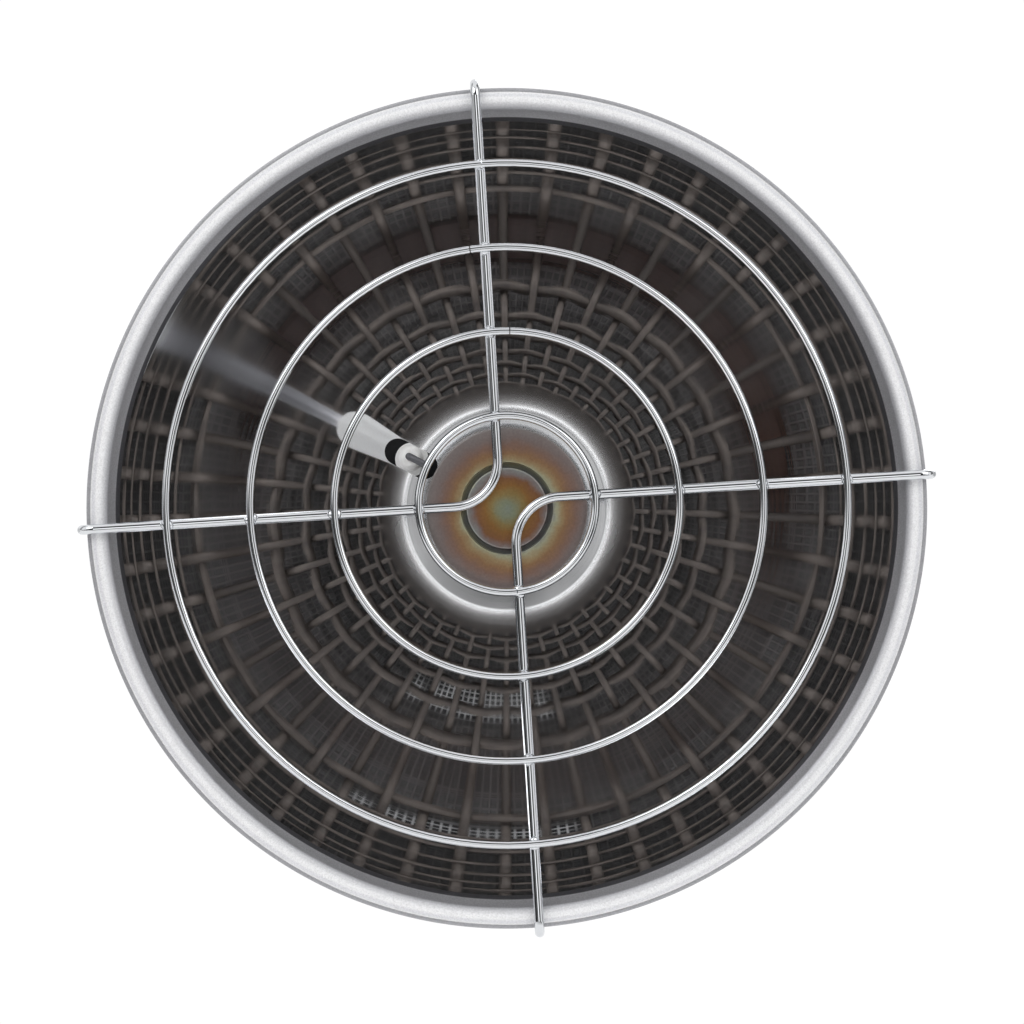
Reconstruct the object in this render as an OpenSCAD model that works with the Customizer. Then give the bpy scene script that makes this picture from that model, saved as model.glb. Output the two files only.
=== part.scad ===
// Parabolic gas heater head for a one-pound cylinder: a mirror dish with a woven radiant burner
// on its axis, a wire guard, and a tilting valve head on a regulator that screws on the cylinder.
// Millimetres. The origin is the centre of the cylinder inlet's mouth, +Z is up, and the dish
// faces -Y. The gas runs up the regulator, through the swivel, and forward into the burner.

/* [Dish] */
// Radius of the mirror bowl at its edge, inside the rolled bead
bowl_edge_r = 107.2; // [85:0.1:110]
// Radius of curvature that the bowl has at its centre
bowl_curve_r = 127.8; // [125:0.1:150]
// Conic constant of the bowl: -1 is a parabola, 0 a sphere, and more is fuller at the edge
bowl_conic = 0.04; // [-1:0.02:0.2]
// How far the bowl flares below that curve, 100 mm from the axis
bowl_flare = 3.2; // [0:0.1:5]
// Width of the flat bottom around the burner that stands on it
flat_ledge = 5.95; // [3:0.05:8]
// Radius of the bend between the flat bottom and the bowl
flat_bend_r = 20; // [12:1:26]
// Sheet thickness of the dish
dish_t = 0.8; // [0.6:0.1:1.2]
// Width of the satin band that carries the bowl's slope on to the bead
band_w = 2.2; // [1:0.1:3]
// Radius of the rolled bead around the rim
bead_r = 2.9; // [2.4:0.1:4]
// Width of the narrow lip outside the bead
lip_w = 1; // [0.6:0.1:1.5]
// Distance from the tilt axis forward to the flat bottom of the dish
dish_set = 58; // [56:1:70]

/* [Guard] */
// Wire diameter of the two bent spokes
spoke_d = 2.7; // [2:0.1:3.4]
// Wire diameter of the rings
ring_d = 2.2; // [1.6:0.1:2.8]
// Radius of the innermost ring
ring_first_r = 24.2; // [20:0.1:30]
// Distance from the outermost ring to the edge of the bowl
ring_edge_gap = 14; // [10:0.5:20]
// Radius of the bend where each spoke turns at the centre
spoke_bend_r = 12.5; // [8:0.5:15]
// Distance of the two upright spokes from the centre line
spoke_step = 1.8; // [1.6:0.1:4]
// Height of the right spoke above the left one
spoke_rise = 1.1; // [0:0.1:3]
// Angle that the whole guard is turned on the rim
guard_roll = 3.5; // [0:0.5:10]
// Distance that the rings lie above the axis of the dish
guard_lift = 1.1; // [0:0.1:2]

/* [Burner] */
// Distance of the burner cap's face behind the crest of the dish's bead
cap_set = 8.8; // [5:0.2:24]
// Radius of the woven screen, at the middle of its hoops
weave_r = 20.6; // [19:0.1:26]
// Wire diameter of the woven screen
weave_d = 0.7; // [0.5:0.05:0.8]
// Number of upright wires in the woven screen, half of them outside the hoops
weave_wires = 48; // [36:2:56]
// Spacing of the hoops in the woven screen
hoop_pitch = 2.7; // [1.8:0.05:4]
// Thickness of the fine flame screen
flame_t = 0.4; // [0.3:0.1:0.6]
// Sheet thickness of the burner cap
cap_t = 0.8; // [0.6:0.1:1]
// Radius of the pressed groove in the cap, at its middle
groove_r = 11.95; // [11:0.05:12.5]
// Width of the pressed groove
groove_w = 1.5; // [1:0.1:2]
// Outer radius of the mixing tube
mix_r = 8; // [7.5:0.1:8.4]
// Wall of the mixing tube
mix_t = 0.8; // [0.6:0.1:1]

/* [Igniter] */
// Direction of the electrode around the dish, seen from the front, from the right
electrode_turn = 152; // [140:1:160]
// Distance of the electrode from the side of the burner
electrode_step = 8.5; // [6:0.05:12]
// Radius of the ceramic insulator
ceramic_r = 3.4; // [3:0.1:3.6]
// Width of the slot that the electrode comes through
slot_w = 7.6; // [7.4:0.1:10]
// Travel of the igniter button
button_travel = 6; // [3:0.5:7]

/* [Swivel and valve] */
// Height of the tilt axis above the top of the regulator
neck_h = 26; // [25:1:40]
// Width of the swivel eye along the tilt axis
eye_w = 16; // [14:1:20]
// Radius of the swivel eye and of the ears around it
eye_r = 12; // [11:0.5:13]
// Radius of the pivot bolt
pivot_r = 7; // [6.5:0.1:7.5]
// Width of the valve block across both ears
block_w = 32; // [30:1:38]
// Radius of the control knob
knob_r = 17; // [14:0.5:20]
// Width of the control knob along its axis
knob_w = 20; // [16:1:26]

/* [Regulator] */
// Radius of the wall of the cylinder inlet, a one-inch thread
inlet_r = 12.1; // [12:0.05:12.4]
// Length of the inlet thread
inlet_len = 8; // [7:0.5:9]
// Radius of the diaphragm housing
chamber_r = 24; // [22:0.5:29]

/* [Hidden] */
$fn = 96;

// Clearances: laid together, a running fit, and room around a piece that moves freely
snug = 0.05;
running = 0.05;
loose = 0.3;
// Overshoot of a cut past the face that it opens
past = 1;

// The regulator, from the cylinder inlet up, and the height of the tilt axis above the inlet
boss_r = inlet_r + 4.9;
relief_w = 1.5;
relief_depth = 0.8;
seal_t = 2.5;
seal_hole_r = 6;
inlet_depth = inlet_len + relief_w + seal_t;
boss_h = inlet_depth + 1.5;
boss_flutes = 18;
flute_r = 1.6;
chamber_h = boss_h + 0.5 + chamber_r;
body_top = chamber_h + chamber_r + 2;
axis_h = body_top + neck_h;
core_r = 13;
body_chamfer = 1;
bore_r = 2;
chamber_front = 2;
chamber_back = 14;
cavity_r = chamber_r - 5.5;
cavity_depth = 6;
sense_drop = 8;
diaphragm_t = 1;
plate_t = 1;
cover_t = 2;
cover_depth = 14;
cover_screw_count = 6;
cover_screw_at = chamber_r - 2.8;
cover_screw_r = 1.5;
cover_screw_grip = 6;
breather_r = 0.8;
stem_thread_r = 6;
stem_thread_len = 8;
neck_r = 6.5;
neck_hex_h = 6;
neck_hex_af = 18;
pin_r = 1.6;
pin_hole_r = 0.8;
pin_rise = 0.5;
pin_flange_r = 5;
pin_flange_h = 1.5;
pin_plug_r = 3;
pin_plug_h = 4;
spring_coil_r = 7;
spring_wire_r = 0.7;

// The burner's radii, from the woven screen out to the cap and in to the base's wall
outer_wire_r = weave_r + weave_d + snug;
inner_wire_r = weave_r - weave_d - snug;
rim_t = 0.5;
rim_inner_r = outer_wire_r + weave_d / 2 + snug;
cap_r = rim_inner_r + rim_t;
flame_r = inner_wire_r - weave_d / 2 - snug;
base_wall_r = flame_r - flame_t - snug;
base_wall_t = 0.6;
flat_r = cap_r + flat_ledge;
electrode_r = cap_r + electrode_step;

// The profile of the bowl: a conic, less a flare that grows with the fourth power of the radius
flare_at = 100;
function conic_root(r) = sqrt(1 - (1 + bowl_conic) * pow(r / bowl_curve_r, 2));
function curve_z(r) =
    r * r / (bowl_curve_r * (1 + conic_root(r))) - bowl_flare * pow(r / flare_at, 4);
function curve_slope(r) =
    atan(r / (bowl_curve_r * conic_root(r)) - 4 * bowl_flare / flare_at * pow(r / flare_at, 3));
// Where the bend from the flat bottom runs into the curve, found by repeated substitution
function bend_end(r, rounds) =
    rounds == 0 ? r : bend_end(flat_r + flat_bend_r * sin(curve_slope(r)), rounds - 1);
bowl_start_r = bend_end(flat_r, 8);
bowl_start_slope = curve_slope(bowl_start_r);
bowl_drop = curve_z(bowl_start_r) - flat_bend_r * (1 - cos(bowl_start_slope));
function bowl_z(r) = curve_z(r) - bowl_drop;

// The rolled bead: a straight band leaves the bowl at the bowl's own slope, and the bead carries
// on from it and falls steeply to the lip
bead_rise = curve_slope(bowl_edge_r);
bead_fall = 65;
bead_mid_r = bowl_edge_r + band_w + bead_r * sin(bead_rise);
bead_mid_z = bowl_z(bowl_edge_r) + band_w * tan(bead_rise) - bead_r * cos(bead_rise);
crest_z = bead_mid_z + bead_r;
lip_start_r = bead_mid_r + bead_r * sin(bead_fall);
lip_z = bead_mid_z + bead_r * cos(bead_fall);
dish_r = lip_start_r + lip_w;
bend_steps = 6;
bowl_steps = 28;
bead_steps = 14;

// The guard, laid on the crest of the bead
ring_count = 4;
ring_last_r = bowl_edge_r - ring_edge_gap;
ring_pitch = (ring_last_r - ring_first_r) / (ring_count - 1);
spoke_z = crest_z + snug + spoke_d / 2;
hook_out_r = dish_r + 2 * snug + spoke_d / 2;
hook_front_r = 3.4;
hook_back_r = 3;
hook_drop = 1.2;
hook_tail = 2.5;
// Directions of the butt joints in the rings, seen from the front
ring_seams = [276.7, 89.1, 98.3, 94.3];
seam_gap = 0.3;

// The burner's heights. The cap's face keeps its distance behind the guard, to a tenth.
burner_h = round(10 * (crest_z - cap_set)) / 10;
rim_h = 2.5;
base_t = 1;
base_wall_h = 8;
groove_depth = 1.2;
groove_draft = 0.15;
cap_edge_r = 0.5;
diffuser_t = 0.8;
diffuser_holes = 12;
diffuser_hole_r = 1.3;
diffuser_row_pitch = 5;
mix_end = 20;
air_hole_r = 3;
wire_low = base_t + snug;
wire_high = burner_h - cap_t - snug;
hoop_end = 2 * weave_d;
hoop_count = floor((wire_high - wire_low - 2 * hoop_end) / hoop_pitch) + 1;
hoop_low = (wire_low + wire_high - (hoop_count - 1) * hoop_pitch) / 2;
diffuser_top = burner_h - cap_t - groove_depth - snug;
diffuser_rows = floor((diffuser_top - wire_low - diffuser_row_pitch) / diffuser_row_pitch);

// Screws that hold the burner, dish and bracket together, from behind
base_screw_turns = [90, 240, 300];
base_screw_r = 1.5;
base_boss_r = 2.8;
base_screw_at = base_wall_r - base_wall_t - base_boss_r - 0.4;
base_boss_h = 5;
screw_room = 0.5;

// The folded bracket behind the dish
sheet_t = 1.5;
fold_r = 1.2;
plate_half_h = 21;
plate_corner = 4;
leg_h = 22;
leg_x = block_w / 2;
leg_end = 15;
leg_back = dish_set - leg_end;
leg_front = dish_t + sheet_t + fold_r;
leg_corner = 3;
panel_r = 12.5;
panel_neck_low = -4.5;
fold_relief = 0.5;
block_screw_r = 1.75;
block_screw_len = 6;

// The electrode and its lead
slot_in_r = cap_r + 0.55;
slot_out_r = electrode_r + 8.15;
ceramic_front = round(6 * burner_h) / 10;
ceramic_back = 16;
ceramic_nose = 4;
ceramic_end_r = 0.6 * ceramic_r;
collar_r = 4.8;
collar_t = 2.5;
electrode_sheet_t = 1;
electrode_stand = 8;
electrode_eye_r = ceramic_r + 5.1;
electrode_flange_low = 2;
electrode_flange_h = 9;
electrode_flange_end = 17;
electrode_screw_at = [6.5, -13];
electrode_screw_grip = 1;
electrode_wire_r = 1;
electrode_bend_r = 2.5;
electrode_tip_set = 6;
wire_tail = 4;
spark_gap = 3.1;
clip_t = 0.8;
clip_w = 2;
lead_r = 1.4;
lead_pull = 10;
lead_steps = 20;
lead_sides = 10;
boot_r = 2.4;
boot_len = 9;
side_boot_len = 6;
boot_grip = 3;
electrode_x = electrode_r * cos(electrode_turn);
electrode_y = electrode_r * sin(electrode_turn);

// The push-button igniter, beside the valve
igniter_x = -(leg_x + sheet_t + 15.5);
igniter_y = -4;
igniter_r = 8;
igniter_len = 27.5;
igniter_chamfer = 1;
collar_thread_r = 7;
collar_thread_len = 10.5;
igniter_nut_h = 4;
igniter_nut_af = 19;
button_r = 5.2;
button_cap_r = 6.5;
button_cap_h = 3.5;
button_crown_r = 15.6;
terminal_back = leg_back - sheet_t - 13.5;

// The valve block, its ears, and the tap in it
ear_gap = 0.9;
ear_in = eye_w / 2 + ear_gap;
block_back = eye_r + 2;
block_len = 26;
block_front = block_back + block_len;
block_half_h = eye_r;
block_chamfer = 1.5;
spigot_len = 5;
tap_y = -(block_back + block_len / 2);
gallery_x = ear_in + 2.7;
gas_r = 1.5;
port_r = 1.2;
plug_r = 5;
plug_in = 8;
plug_out = gallery_x + 2.4;
plug_groove = 0.8;
tap_spring_room = 5;
tap_spring_r = 3.8;
tap_spring_wire_r = 0.4;
tap_boss_r = 9;
tap_boss_len = 5;
gland_r = 6.5;
gland_af = 14;
gland_head = 4;
gland_x = leg_x + tap_boss_len;
stem_r = 3;
stem_flat = 0.8;
knob_x = gland_x + gland_head + 3;
knob_flutes = 10;
knob_flute_r = 4;
knob_skirt = 3;
knob_face_r = knob_r - 4.5;
knob_grip_r = knob_r - 1.5;
knob_top_t = 3;
knob_screw_r = 1.5;
knob_screw_at = 7;
knob_screw_len = 6;
socket_depth = 1.5;
pointer_w = 2;
pointer_in = 4;
pointer_depth = 1;
block_screw_at = [[-block_front + 3.5, eye_r - 3.5], [-block_back - 3.5, 3.5 - eye_r]];

// The jet
jet_thread_r = 2.5;
jet_thread_len = 4;
jet_hex_h = 3;
jet_hex_af = 7;
jet_nose_r = 2.2;
jet_nose_h = 2;
jet_feed_r = 1.2;
jet_hole_r = 0.3;

// The pivot
washer_t = ear_gap - 2 * snug;
washer_r = eye_r - 0.5;
washer_hole_r = pivot_r + 0.15;
bolt_thread_r = 5;
bolt_head_h = 5.5;
bolt_af = 17;
bolt_gas_groove_w = 4;
bolt_gas_groove = 1.4;
seal_groove_w = 2.4;
seal_groove = 1.6;
pivot_nut_af = 15;
pivot_nut_w = 6;
seal_at = 5;
seal_mid_r = pivot_r - 0.8;
seal_r = 0.78;

// Frames: the dish's own frame has its axis along +Z forward, +X right and +Y up, from the flat
// bottom's centre. The pivot's frame keeps the main directions.
module on_dish() {
    translate([0, -dish_set, axis_h])
        rotate([90, 0, 0])
            children();
}

module on_pivot() {
    translate([0, 0, axis_h])
        children();
}

module on_guard() {
    on_dish()
        translate([0, guard_lift, spoke_z])
            rotate([0, 0, guard_roll])
                children();
}

module on_electrode() {
    on_dish()
        rotate([0, 0, electrode_turn])
            translate([electrode_r, 0, 0])
                children();
}

// Turned and drawn shapes
module rod_x(x, len, r) {
    translate([x, 0, 0])
        rotate([0, 90, 0])
            cylinder(h = len, r = r);
}

module rod_y(y, len, r) {
    translate([0, y, 0])
        rotate([-90, 0, 0])
            cylinder(h = len, r = r);
}

module tube(h, outer_r, inner_r) {
    difference() {
        cylinder(h = h, r = outer_r);
        translate([0, 0, -past])
            cylinder(h = h + 2 * past, r = inner_r);
    }
}

// A round bar along Z with a chamfer at both ends
module turned(h, r, chamfer) {
    rotate_extrude()
        polygon([
            [0, 0],
            [r - chamfer, 0],
            [r, chamfer],
            [r, h - chamfer],
            [r - chamfer, h],
            [0, h]
        ]);
}

// A hexagon across flats, drawn as a prism along Z
module hexagon(h, flats) {
    cylinder(h = h, r = flats / sqrt(3), $fn = 6);
}

// A hexagon whose corners are turned down at both ends, as on a nut or a bolt's head
module nut_blank(h, flats) {
    corner_r = flats * 0.585;
    face_r = flats * 0.48;
    drop = (corner_r - face_r) / 2;
    intersection() {
        hexagon(h, flats);
        rotate_extrude()
            polygon([
                [0, 0],
                [face_r, 0],
                [corner_r, drop],
                [corner_r, h - drop],
                [face_r, h],
                [0, h]
            ]);
    }
}

// A quarter or other part of a turn of round wire, from +X towards +Y
module wire_arc(bend_r, wire_d, turn) {
    rotate_extrude(angle = turn)
        translate([bend_r, 0])
            circle(d = wire_d);
}

// A cross-recessed pan-head screw: the head's seat is at z = 0 and the shank goes down -Z
module pan_screw(shank_r, len) {
    head_r = 1.85 * shank_r;
    head_h = 1.3 * shank_r;
    crown_r = 2.2 * head_r;
    recess_w = 0.45 * shank_r;
    recess_len = 2.4 * shank_r;
    difference() {
        union() {
            translate([0, 0, -len])
                cylinder(h = len, r = shank_r);
            intersection() {
                cylinder(h = head_h, r = head_r);
                translate([0, 0, head_h - crown_r])
                    sphere(r = crown_r);
            }
        }
        for (turn = [0, 90])
            rotate([0, 0, turn])
                translate([-recess_len / 2, -recess_w / 2, head_h / 2])
                    cube([recess_len, recess_w, head_h]);
    }
}

// A round tube swept along points. ref is a direction that the path never takes.
function unit(v) = v / norm(v);
function heading(path, i) = unit(path[min(i + 1, len(path) - 1)] - path[max(i - 1, 0)]);
module swept_tube(path, r, sides, ref) {
    rings = len(path);
    points = [
        for (i = [0:rings - 1])
            let (ahead = heading(path, i), side = unit(cross(ahead, ref)), up = cross(side, ahead))
                for (k = [0:sides - 1])
                    path[i] + r * (cos(360 * k / sides) * side + sin(360 * k / sides) * up)
    ];
    walls = [
        for (i = [0:rings - 2], k = [0:sides - 1])
            let (a = i * sides + k, b = i * sides + (k + 1) % sides)
                for (face = [[a, b, b + sides], [a, b + sides, a + sides]])
                    face
    ];
    start = [for (k = [sides - 1:-1:0]) k];
    end = [for (k = [0:sides - 1]) (rings - 1) * sides + k];
    polyhedron(points = points, faces = concat([start], walls, [end]));
}

// A compression spring along +Z whose first and last turns lie almost closed
module coil_spring(coil_r, wire_r, len, turns) {
    per_turn = 12;
    sides = 6;
    steps = per_turn * turns;
    closed_rise = 2 * wire_r + loose;
    rise = (len - 2 * wire_r - 2 * closed_rise) / (turns - 2);
    path = [
        for (i = [0:steps])
            let (low = min(i, per_turn) / per_turn, high = max(i - steps + per_turn, 0) / per_turn)
            let (middle = i / per_turn - low - high)
                [
                    coil_r * cos(360 * i / per_turn),
                    coil_r * sin(360 * i / per_turn),
                    wire_r + (low + high) * closed_rise + middle * rise
                ]
    ];
    swept_tube(path, wire_r, sides, [0, 0, 1]);
}

// The dish
module dish_profile() {
    section = concat(
        [[0, 0, 0]],
        [
            for (i = [0:bend_steps])
                let (a = bowl_start_slope * i / bend_steps)
                    [flat_r + flat_bend_r * sin(a), flat_bend_r * (1 - cos(a)), a]
        ],
        [
            for (i = [1:bowl_steps])
                let (r = bowl_start_r + (bowl_edge_r - bowl_start_r) * i / bowl_steps)
                    [r, bowl_z(r), curve_slope(r)]
        ],
        [
            for (i = [0:bead_steps])
                let (a = bead_rise - (bead_rise + bead_fall) * i / bead_steps)
                    [bead_mid_r - bead_r * sin(a), bead_mid_z + bead_r * cos(a), a]
        ]
    );
    front = [for (s = section) [s[0], s[1]]];
    lip = [
        [dish_r, lip_z],
        [dish_r, lip_z - dish_t],
        [lip_start_r - dish_t * tan(bead_fall / 2), lip_z - dish_t]
    ];
    back = [
        for (i = [len(section) - 1:-1:0])
            let (s = section[i])
                [s[0] + dish_t * sin(s[2]), s[1] - dish_t * cos(s[2])]
    ];
    polygon(concat(front, lip, back));
}

// The slot for the electrode, running outwards from the edge of the burner
module slot_shape() {
    half = slot_w / 2;
    rotate([0, 0, electrode_turn]) {
        translate([slot_in_r + half, -half])
            square([slot_out_r - slot_in_r - slot_w, slot_w]);
        for (r = [slot_in_r + half, slot_out_r - half])
            translate([r, 0])
                circle(r = half);
    }
}

module base_screw_holes(r) {
    through = base_boss_h + past;
    for (turn = base_screw_turns)
        rotate([0, 0, turn])
            translate([base_screw_at, 0, -through])
                cylinder(h = 2 * through, r = r);
}

module reflector() {
    color("silver")
        on_dish()
            difference() {
                rotate_extrude()
                    dish_profile();
                translate([0, 0, -dish_t - past])
                    cylinder(h = dish_t + 2 * past, r = mix_r + 2 * snug);
                base_screw_holes(base_screw_r + 2 * snug);
                translate([0, 0, -dish_t - past])
                    linear_extrude(flat_bend_r)
                        slot_shape();
            }
}

// The guard: each spoke is one wire with a hook at both ends and a bend at the centre
module hook() {
    translate([-hook_front_r, 0, -hook_front_r])
        rotate([90, 0, 0])
            wire_arc(hook_front_r, spoke_d, 90);
    translate([0, 0, -hook_front_r - hook_drop])
        cylinder(h = hook_drop, d = spoke_d);
    translate([-hook_back_r, 0, -hook_front_r - hook_drop])
        rotate([90, 0, 0])
            rotate([0, 0, -90])
                wire_arc(hook_back_r, spoke_d, 90);
    translate([-hook_back_r - hook_tail, 0, -hook_front_r - hook_drop - hook_back_r])
        rod_x(0, hook_tail, spoke_d / 2);
}

// A straight arm along +X from a start to a reach, ending in its hook
module spoke_arm(start, reach) {
    rod_x(start, reach - hook_front_r - start, spoke_d / 2);
    translate([reach, 0, 0])
        hook();
}

// How far an arm runs from the centre of the dish to its hook, to a hundredth
function hook_reach(across) = round(100 * sqrt(hook_out_r * hook_out_r - across * across)) / 100;

module guard_spoke_upper() {
    color("gainsboro")
        on_guard() {
            rotate([0, 0, 180])
                spoke_arm(spoke_step + spoke_bend_r, hook_reach(guard_lift));
            translate([-spoke_step - spoke_bend_r, spoke_bend_r, 0])
                rotate([0, 0, -90])
                    wire_arc(spoke_bend_r, spoke_d, 90);
            translate([-spoke_step, 0, 0])
                rotate([0, 0, 90])
                    spoke_arm(spoke_bend_r, hook_reach(spoke_step) - guard_lift);
        }
}

module guard_spoke_lower() {
    color("gainsboro")
        on_guard() {
            translate([0, spoke_rise, 0])
                spoke_arm(spoke_step + spoke_bend_r, hook_reach(spoke_rise + guard_lift));
            translate([spoke_step + spoke_bend_r, spoke_rise - spoke_bend_r, 0])
                rotate([0, 0, 90])
                    wire_arc(spoke_bend_r, spoke_d, 90);
            translate([spoke_step, 0, 0])
                rotate([0, 0, -90])
                    spoke_arm(spoke_bend_r - spoke_rise, hook_reach(spoke_step) + guard_lift);
        }
}

// A ring of the guard, counted from 1 at the middle, bent round to a butt joint
module guard_ring(number) {
    ring_r = ring_first_r + (number - 1) * ring_pitch;
    seam = ring_seams[number - 1] - guard_roll;
    open = seam_gap / ring_r * 180 / PI;
    color("gainsboro")
        on_guard()
            translate([0, 0, spoke_d / 2 + ring_d / 2 + snug])
                rotate([0, 0, seam + open / 2])
                    wire_arc(ring_r, ring_d, 360 - open);
}

// The burner
module burner_cap() {
    groove_in = groove_r - groove_w / 2;
    groove_out = groove_r + groove_w / 2;
    groove_wall = 0.7 * cap_t;
    color("rosybrown")
        on_dish()
            rotate_extrude()
                polygon(concat(
                    [
                        [0, burner_h - cap_t],
                        [groove_in - groove_wall, burner_h - cap_t],
                        [groove_in - groove_wall, burner_h - cap_t - groove_depth],
                        [groove_out + groove_wall, burner_h - cap_t - groove_depth],
                        [groove_out + groove_wall, burner_h - cap_t],
                        [rim_inner_r, burner_h - cap_t],
                        [rim_inner_r, burner_h - rim_h],
                        [cap_r, burner_h - rim_h]
                    ],
                    [
                        for (a = [0:15:90])
                            [cap_r - cap_edge_r * (1 - cos(a)), burner_h - cap_edge_r * (1 - sin(a))]
                    ],
                    [
                        [groove_out, burner_h],
                        [groove_out - groove_draft, burner_h - groove_depth],
                        [groove_in + groove_draft, burner_h - groove_depth],
                        [groove_in, burner_h],
                        [0, burner_h]
                    ]
                ));
}

// The coarse screen that glows: hoops with upright wires laid in turn outside and inside them
module radiant_screen() {
    color("dimgray")
        on_dish() {
            for (i = [0:hoop_count - 1])
                translate([0, 0, hoop_low + i * hoop_pitch])
                    wire_arc(weave_r, weave_d, 360);
            for (i = [0:weave_wires - 1])
                rotate([0, 0, i * 360 / weave_wires])
                    translate([i % 2 == 0 ? outer_wire_r : inner_wire_r, 0, wire_low])
                        cylinder(h = wire_high - wire_low, d = weave_d);
        }
}

module flame_screen() {
    color("darkslategray")
        on_dish()
            translate([0, 0, wire_low])
                tube(wire_high - wire_low, flame_r, flame_r - flame_t);
}

// The perforated tube that spreads the gas, standing in the ridge of the cap's groove
module diffuser_tube() {
    outer_r = groove_r + diffuser_t / 2;
    first = (wire_low + diffuser_top - (diffuser_rows - 1) * diffuser_row_pitch) / 2;
    step = 360 / diffuser_holes;
    color("slategray")
        on_dish()
            difference() {
                translate([0, 0, wire_low])
                    tube(diffuser_top - wire_low, outer_r, outer_r - diffuser_t);
                for (row = [0:diffuser_rows - 1], i = [0:diffuser_holes - 1])
                    rotate([0, 0, (i + (row % 2) / 2) * step])
                        translate([0, 0, first + row * diffuser_row_pitch])
                            rod_x(outer_r - diffuser_t - past, diffuser_t + 2 * past, diffuser_hole_r);
            }
}

module burner_base() {
    color("slategray")
        on_dish()
            difference() {
                union() {
                    cylinder(h = base_t, r = cap_r);
                    tube(rim_h, cap_r, rim_inner_r);
                    tube(base_wall_h, base_wall_r, base_wall_r - base_wall_t);
                    for (turn = base_screw_turns)
                        rotate([0, 0, turn])
                            translate([base_screw_at, 0, 0])
                                cylinder(h = base_boss_h, r = base_boss_r);
                }
                translate([0, 0, -past])
                    cylinder(h = base_t + 2 * past, r = mix_r + running);
                base_screw_holes(base_screw_r + running);
            }
}

module mixing_tube() {
    back = dish_set - block_front;
    color("lightsteelblue")
        on_dish()
            difference() {
                translate([0, 0, -back])
                    tube(back + mix_end, mix_r, mix_r - mix_t);
                for (turn = [0, 90])
                    rotate([0, 0, turn])
                        translate([0, 0, -back / 2 + 1])
                            rod_x(-mix_r - past, 2 * (mix_r + past), air_hole_r);
            }
}

module base_screws() {
    color("gainsboro")
        on_dish()
            for (turn = base_screw_turns)
                rotate([0, 0, turn])
                    translate([base_screw_at, 0, -dish_t - sheet_t])
                        mirror([0, 0, 1])
                            pan_screw(base_screw_r, sheet_t + dish_t + base_boss_h - screw_room);
}

// The bracket, one folded sheet: a plate behind the dish, two legs back to the valve block, and the
// igniter's panel, turned out from the end of the left leg
module sheet_fold(width) {
    rotate([90, 0, 0])
        rotate_extrude(angle = 90)
            translate([fold_r, 0])
                square([sheet_t, width]);
}

module leg(outline) {
    translate([leg_x, 0, 0])
        rotate([0, 90, 0])
            linear_extrude(sheet_t)
                polygon(outline);
}

module rear_bracket() {
    half = leg_h / 2;
    fold_x = leg_x - fold_r;
    neck_x = leg_x + sheet_t + fold_r;
    neck_back = leg_back - sheet_t - fold_r;
    color("darkgray")
        on_dish()
            difference() {
                union() {
                    translate([0, 0, -dish_t - sheet_t])
                        linear_extrude(sheet_t)
                            polygon([
                                [-fold_x, -half],
                                [plate_corner - fold_x, -half],
                                [plate_corner - fold_x, plate_corner - plate_half_h],
                                [2 * plate_corner - fold_x, -plate_half_h],
                                [fold_x - 2 * plate_corner, -plate_half_h],
                                [fold_x - plate_corner, plate_corner - plate_half_h],
                                [fold_x - plate_corner, -half],
                                [fold_x, -half],
                                [fold_x, half],
                                [fold_x - plate_corner, half],
                                [fold_x - plate_corner, plate_half_h - plate_corner],
                                [fold_x - 2 * plate_corner, plate_half_h],
                                [2 * plate_corner - fold_x, plate_half_h],
                                [plate_corner - fold_x, plate_half_h - plate_corner],
                                [plate_corner - fold_x, half],
                                [-fold_x, half]
                            ]);
                    for (side = [0, 1])
                        mirror([side, 0, 0])
                            translate([fold_x, half, -leg_front])
                                sheet_fold(leg_h);
                    leg([
                        [leg_front, -half],
                        [leg_back - leg_corner, -half],
                        [leg_back, leg_corner - half],
                        [leg_back, half - leg_corner],
                        [leg_back - leg_corner, half],
                        [leg_front, half]
                    ]);
                    mirror([1, 0, 0])
                        leg([
                            [leg_front, -half],
                            [leg_back - leg_corner, -half],
                            [leg_back, leg_corner - half],
                            [leg_back, panel_neck_low - fold_relief],
                            [neck_back, panel_neck_low - fold_relief],
                            [neck_back, half],
                            [leg_front, half]
                        ]);
                    translate([-neck_x, half, -neck_back])
                        mirror([0, 0, 1])
                            sheet_fold(half - panel_neck_low);
                    translate([0, 0, -leg_back])
                        linear_extrude(sheet_t) {
                            translate([igniter_x, igniter_y])
                                circle(r = panel_r);
                            translate([igniter_x, panel_neck_low])
                                square([-igniter_x - neck_x, half - panel_neck_low]);
                        }
                }
                translate([0, 0, -dish_t - sheet_t - past])
                    cylinder(h = sheet_t + 2 * past, r = mix_r + loose);
                base_screw_holes(base_screw_r + 2 * snug);
                translate([igniter_x, igniter_y, -leg_back - past])
                    cylinder(h = sheet_t + 2 * past, r = collar_thread_r + 2 * snug);
                for (at = block_screw_at)
                    translate([0, at[1], -dish_set - at[0]])
                        rod_x(-block_w, 2 * block_w, block_screw_r + 2 * snug);
                translate([0, 0, -dish_set - tap_y])
                    rod_x(leg_x - past, sheet_t + 2 * past, tap_boss_r + loose);
                translate([0, electrode_screw_at[0], electrode_screw_at[1]])
                    rod_x(-leg_x - sheet_t - past, sheet_t + 2 * past, base_screw_r + 2 * snug);
            }
}

module bracket_screws() {
    color("gainsboro")
        on_pivot()
            for (at = block_screw_at, side = [0, 1])
                mirror([side, 0, 0])
                    translate([leg_x + sheet_t, at[0], at[1]])
                        rotate([0, 90, 0])
                            pan_screw(block_screw_r, sheet_t + block_screw_len);
}

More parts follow.
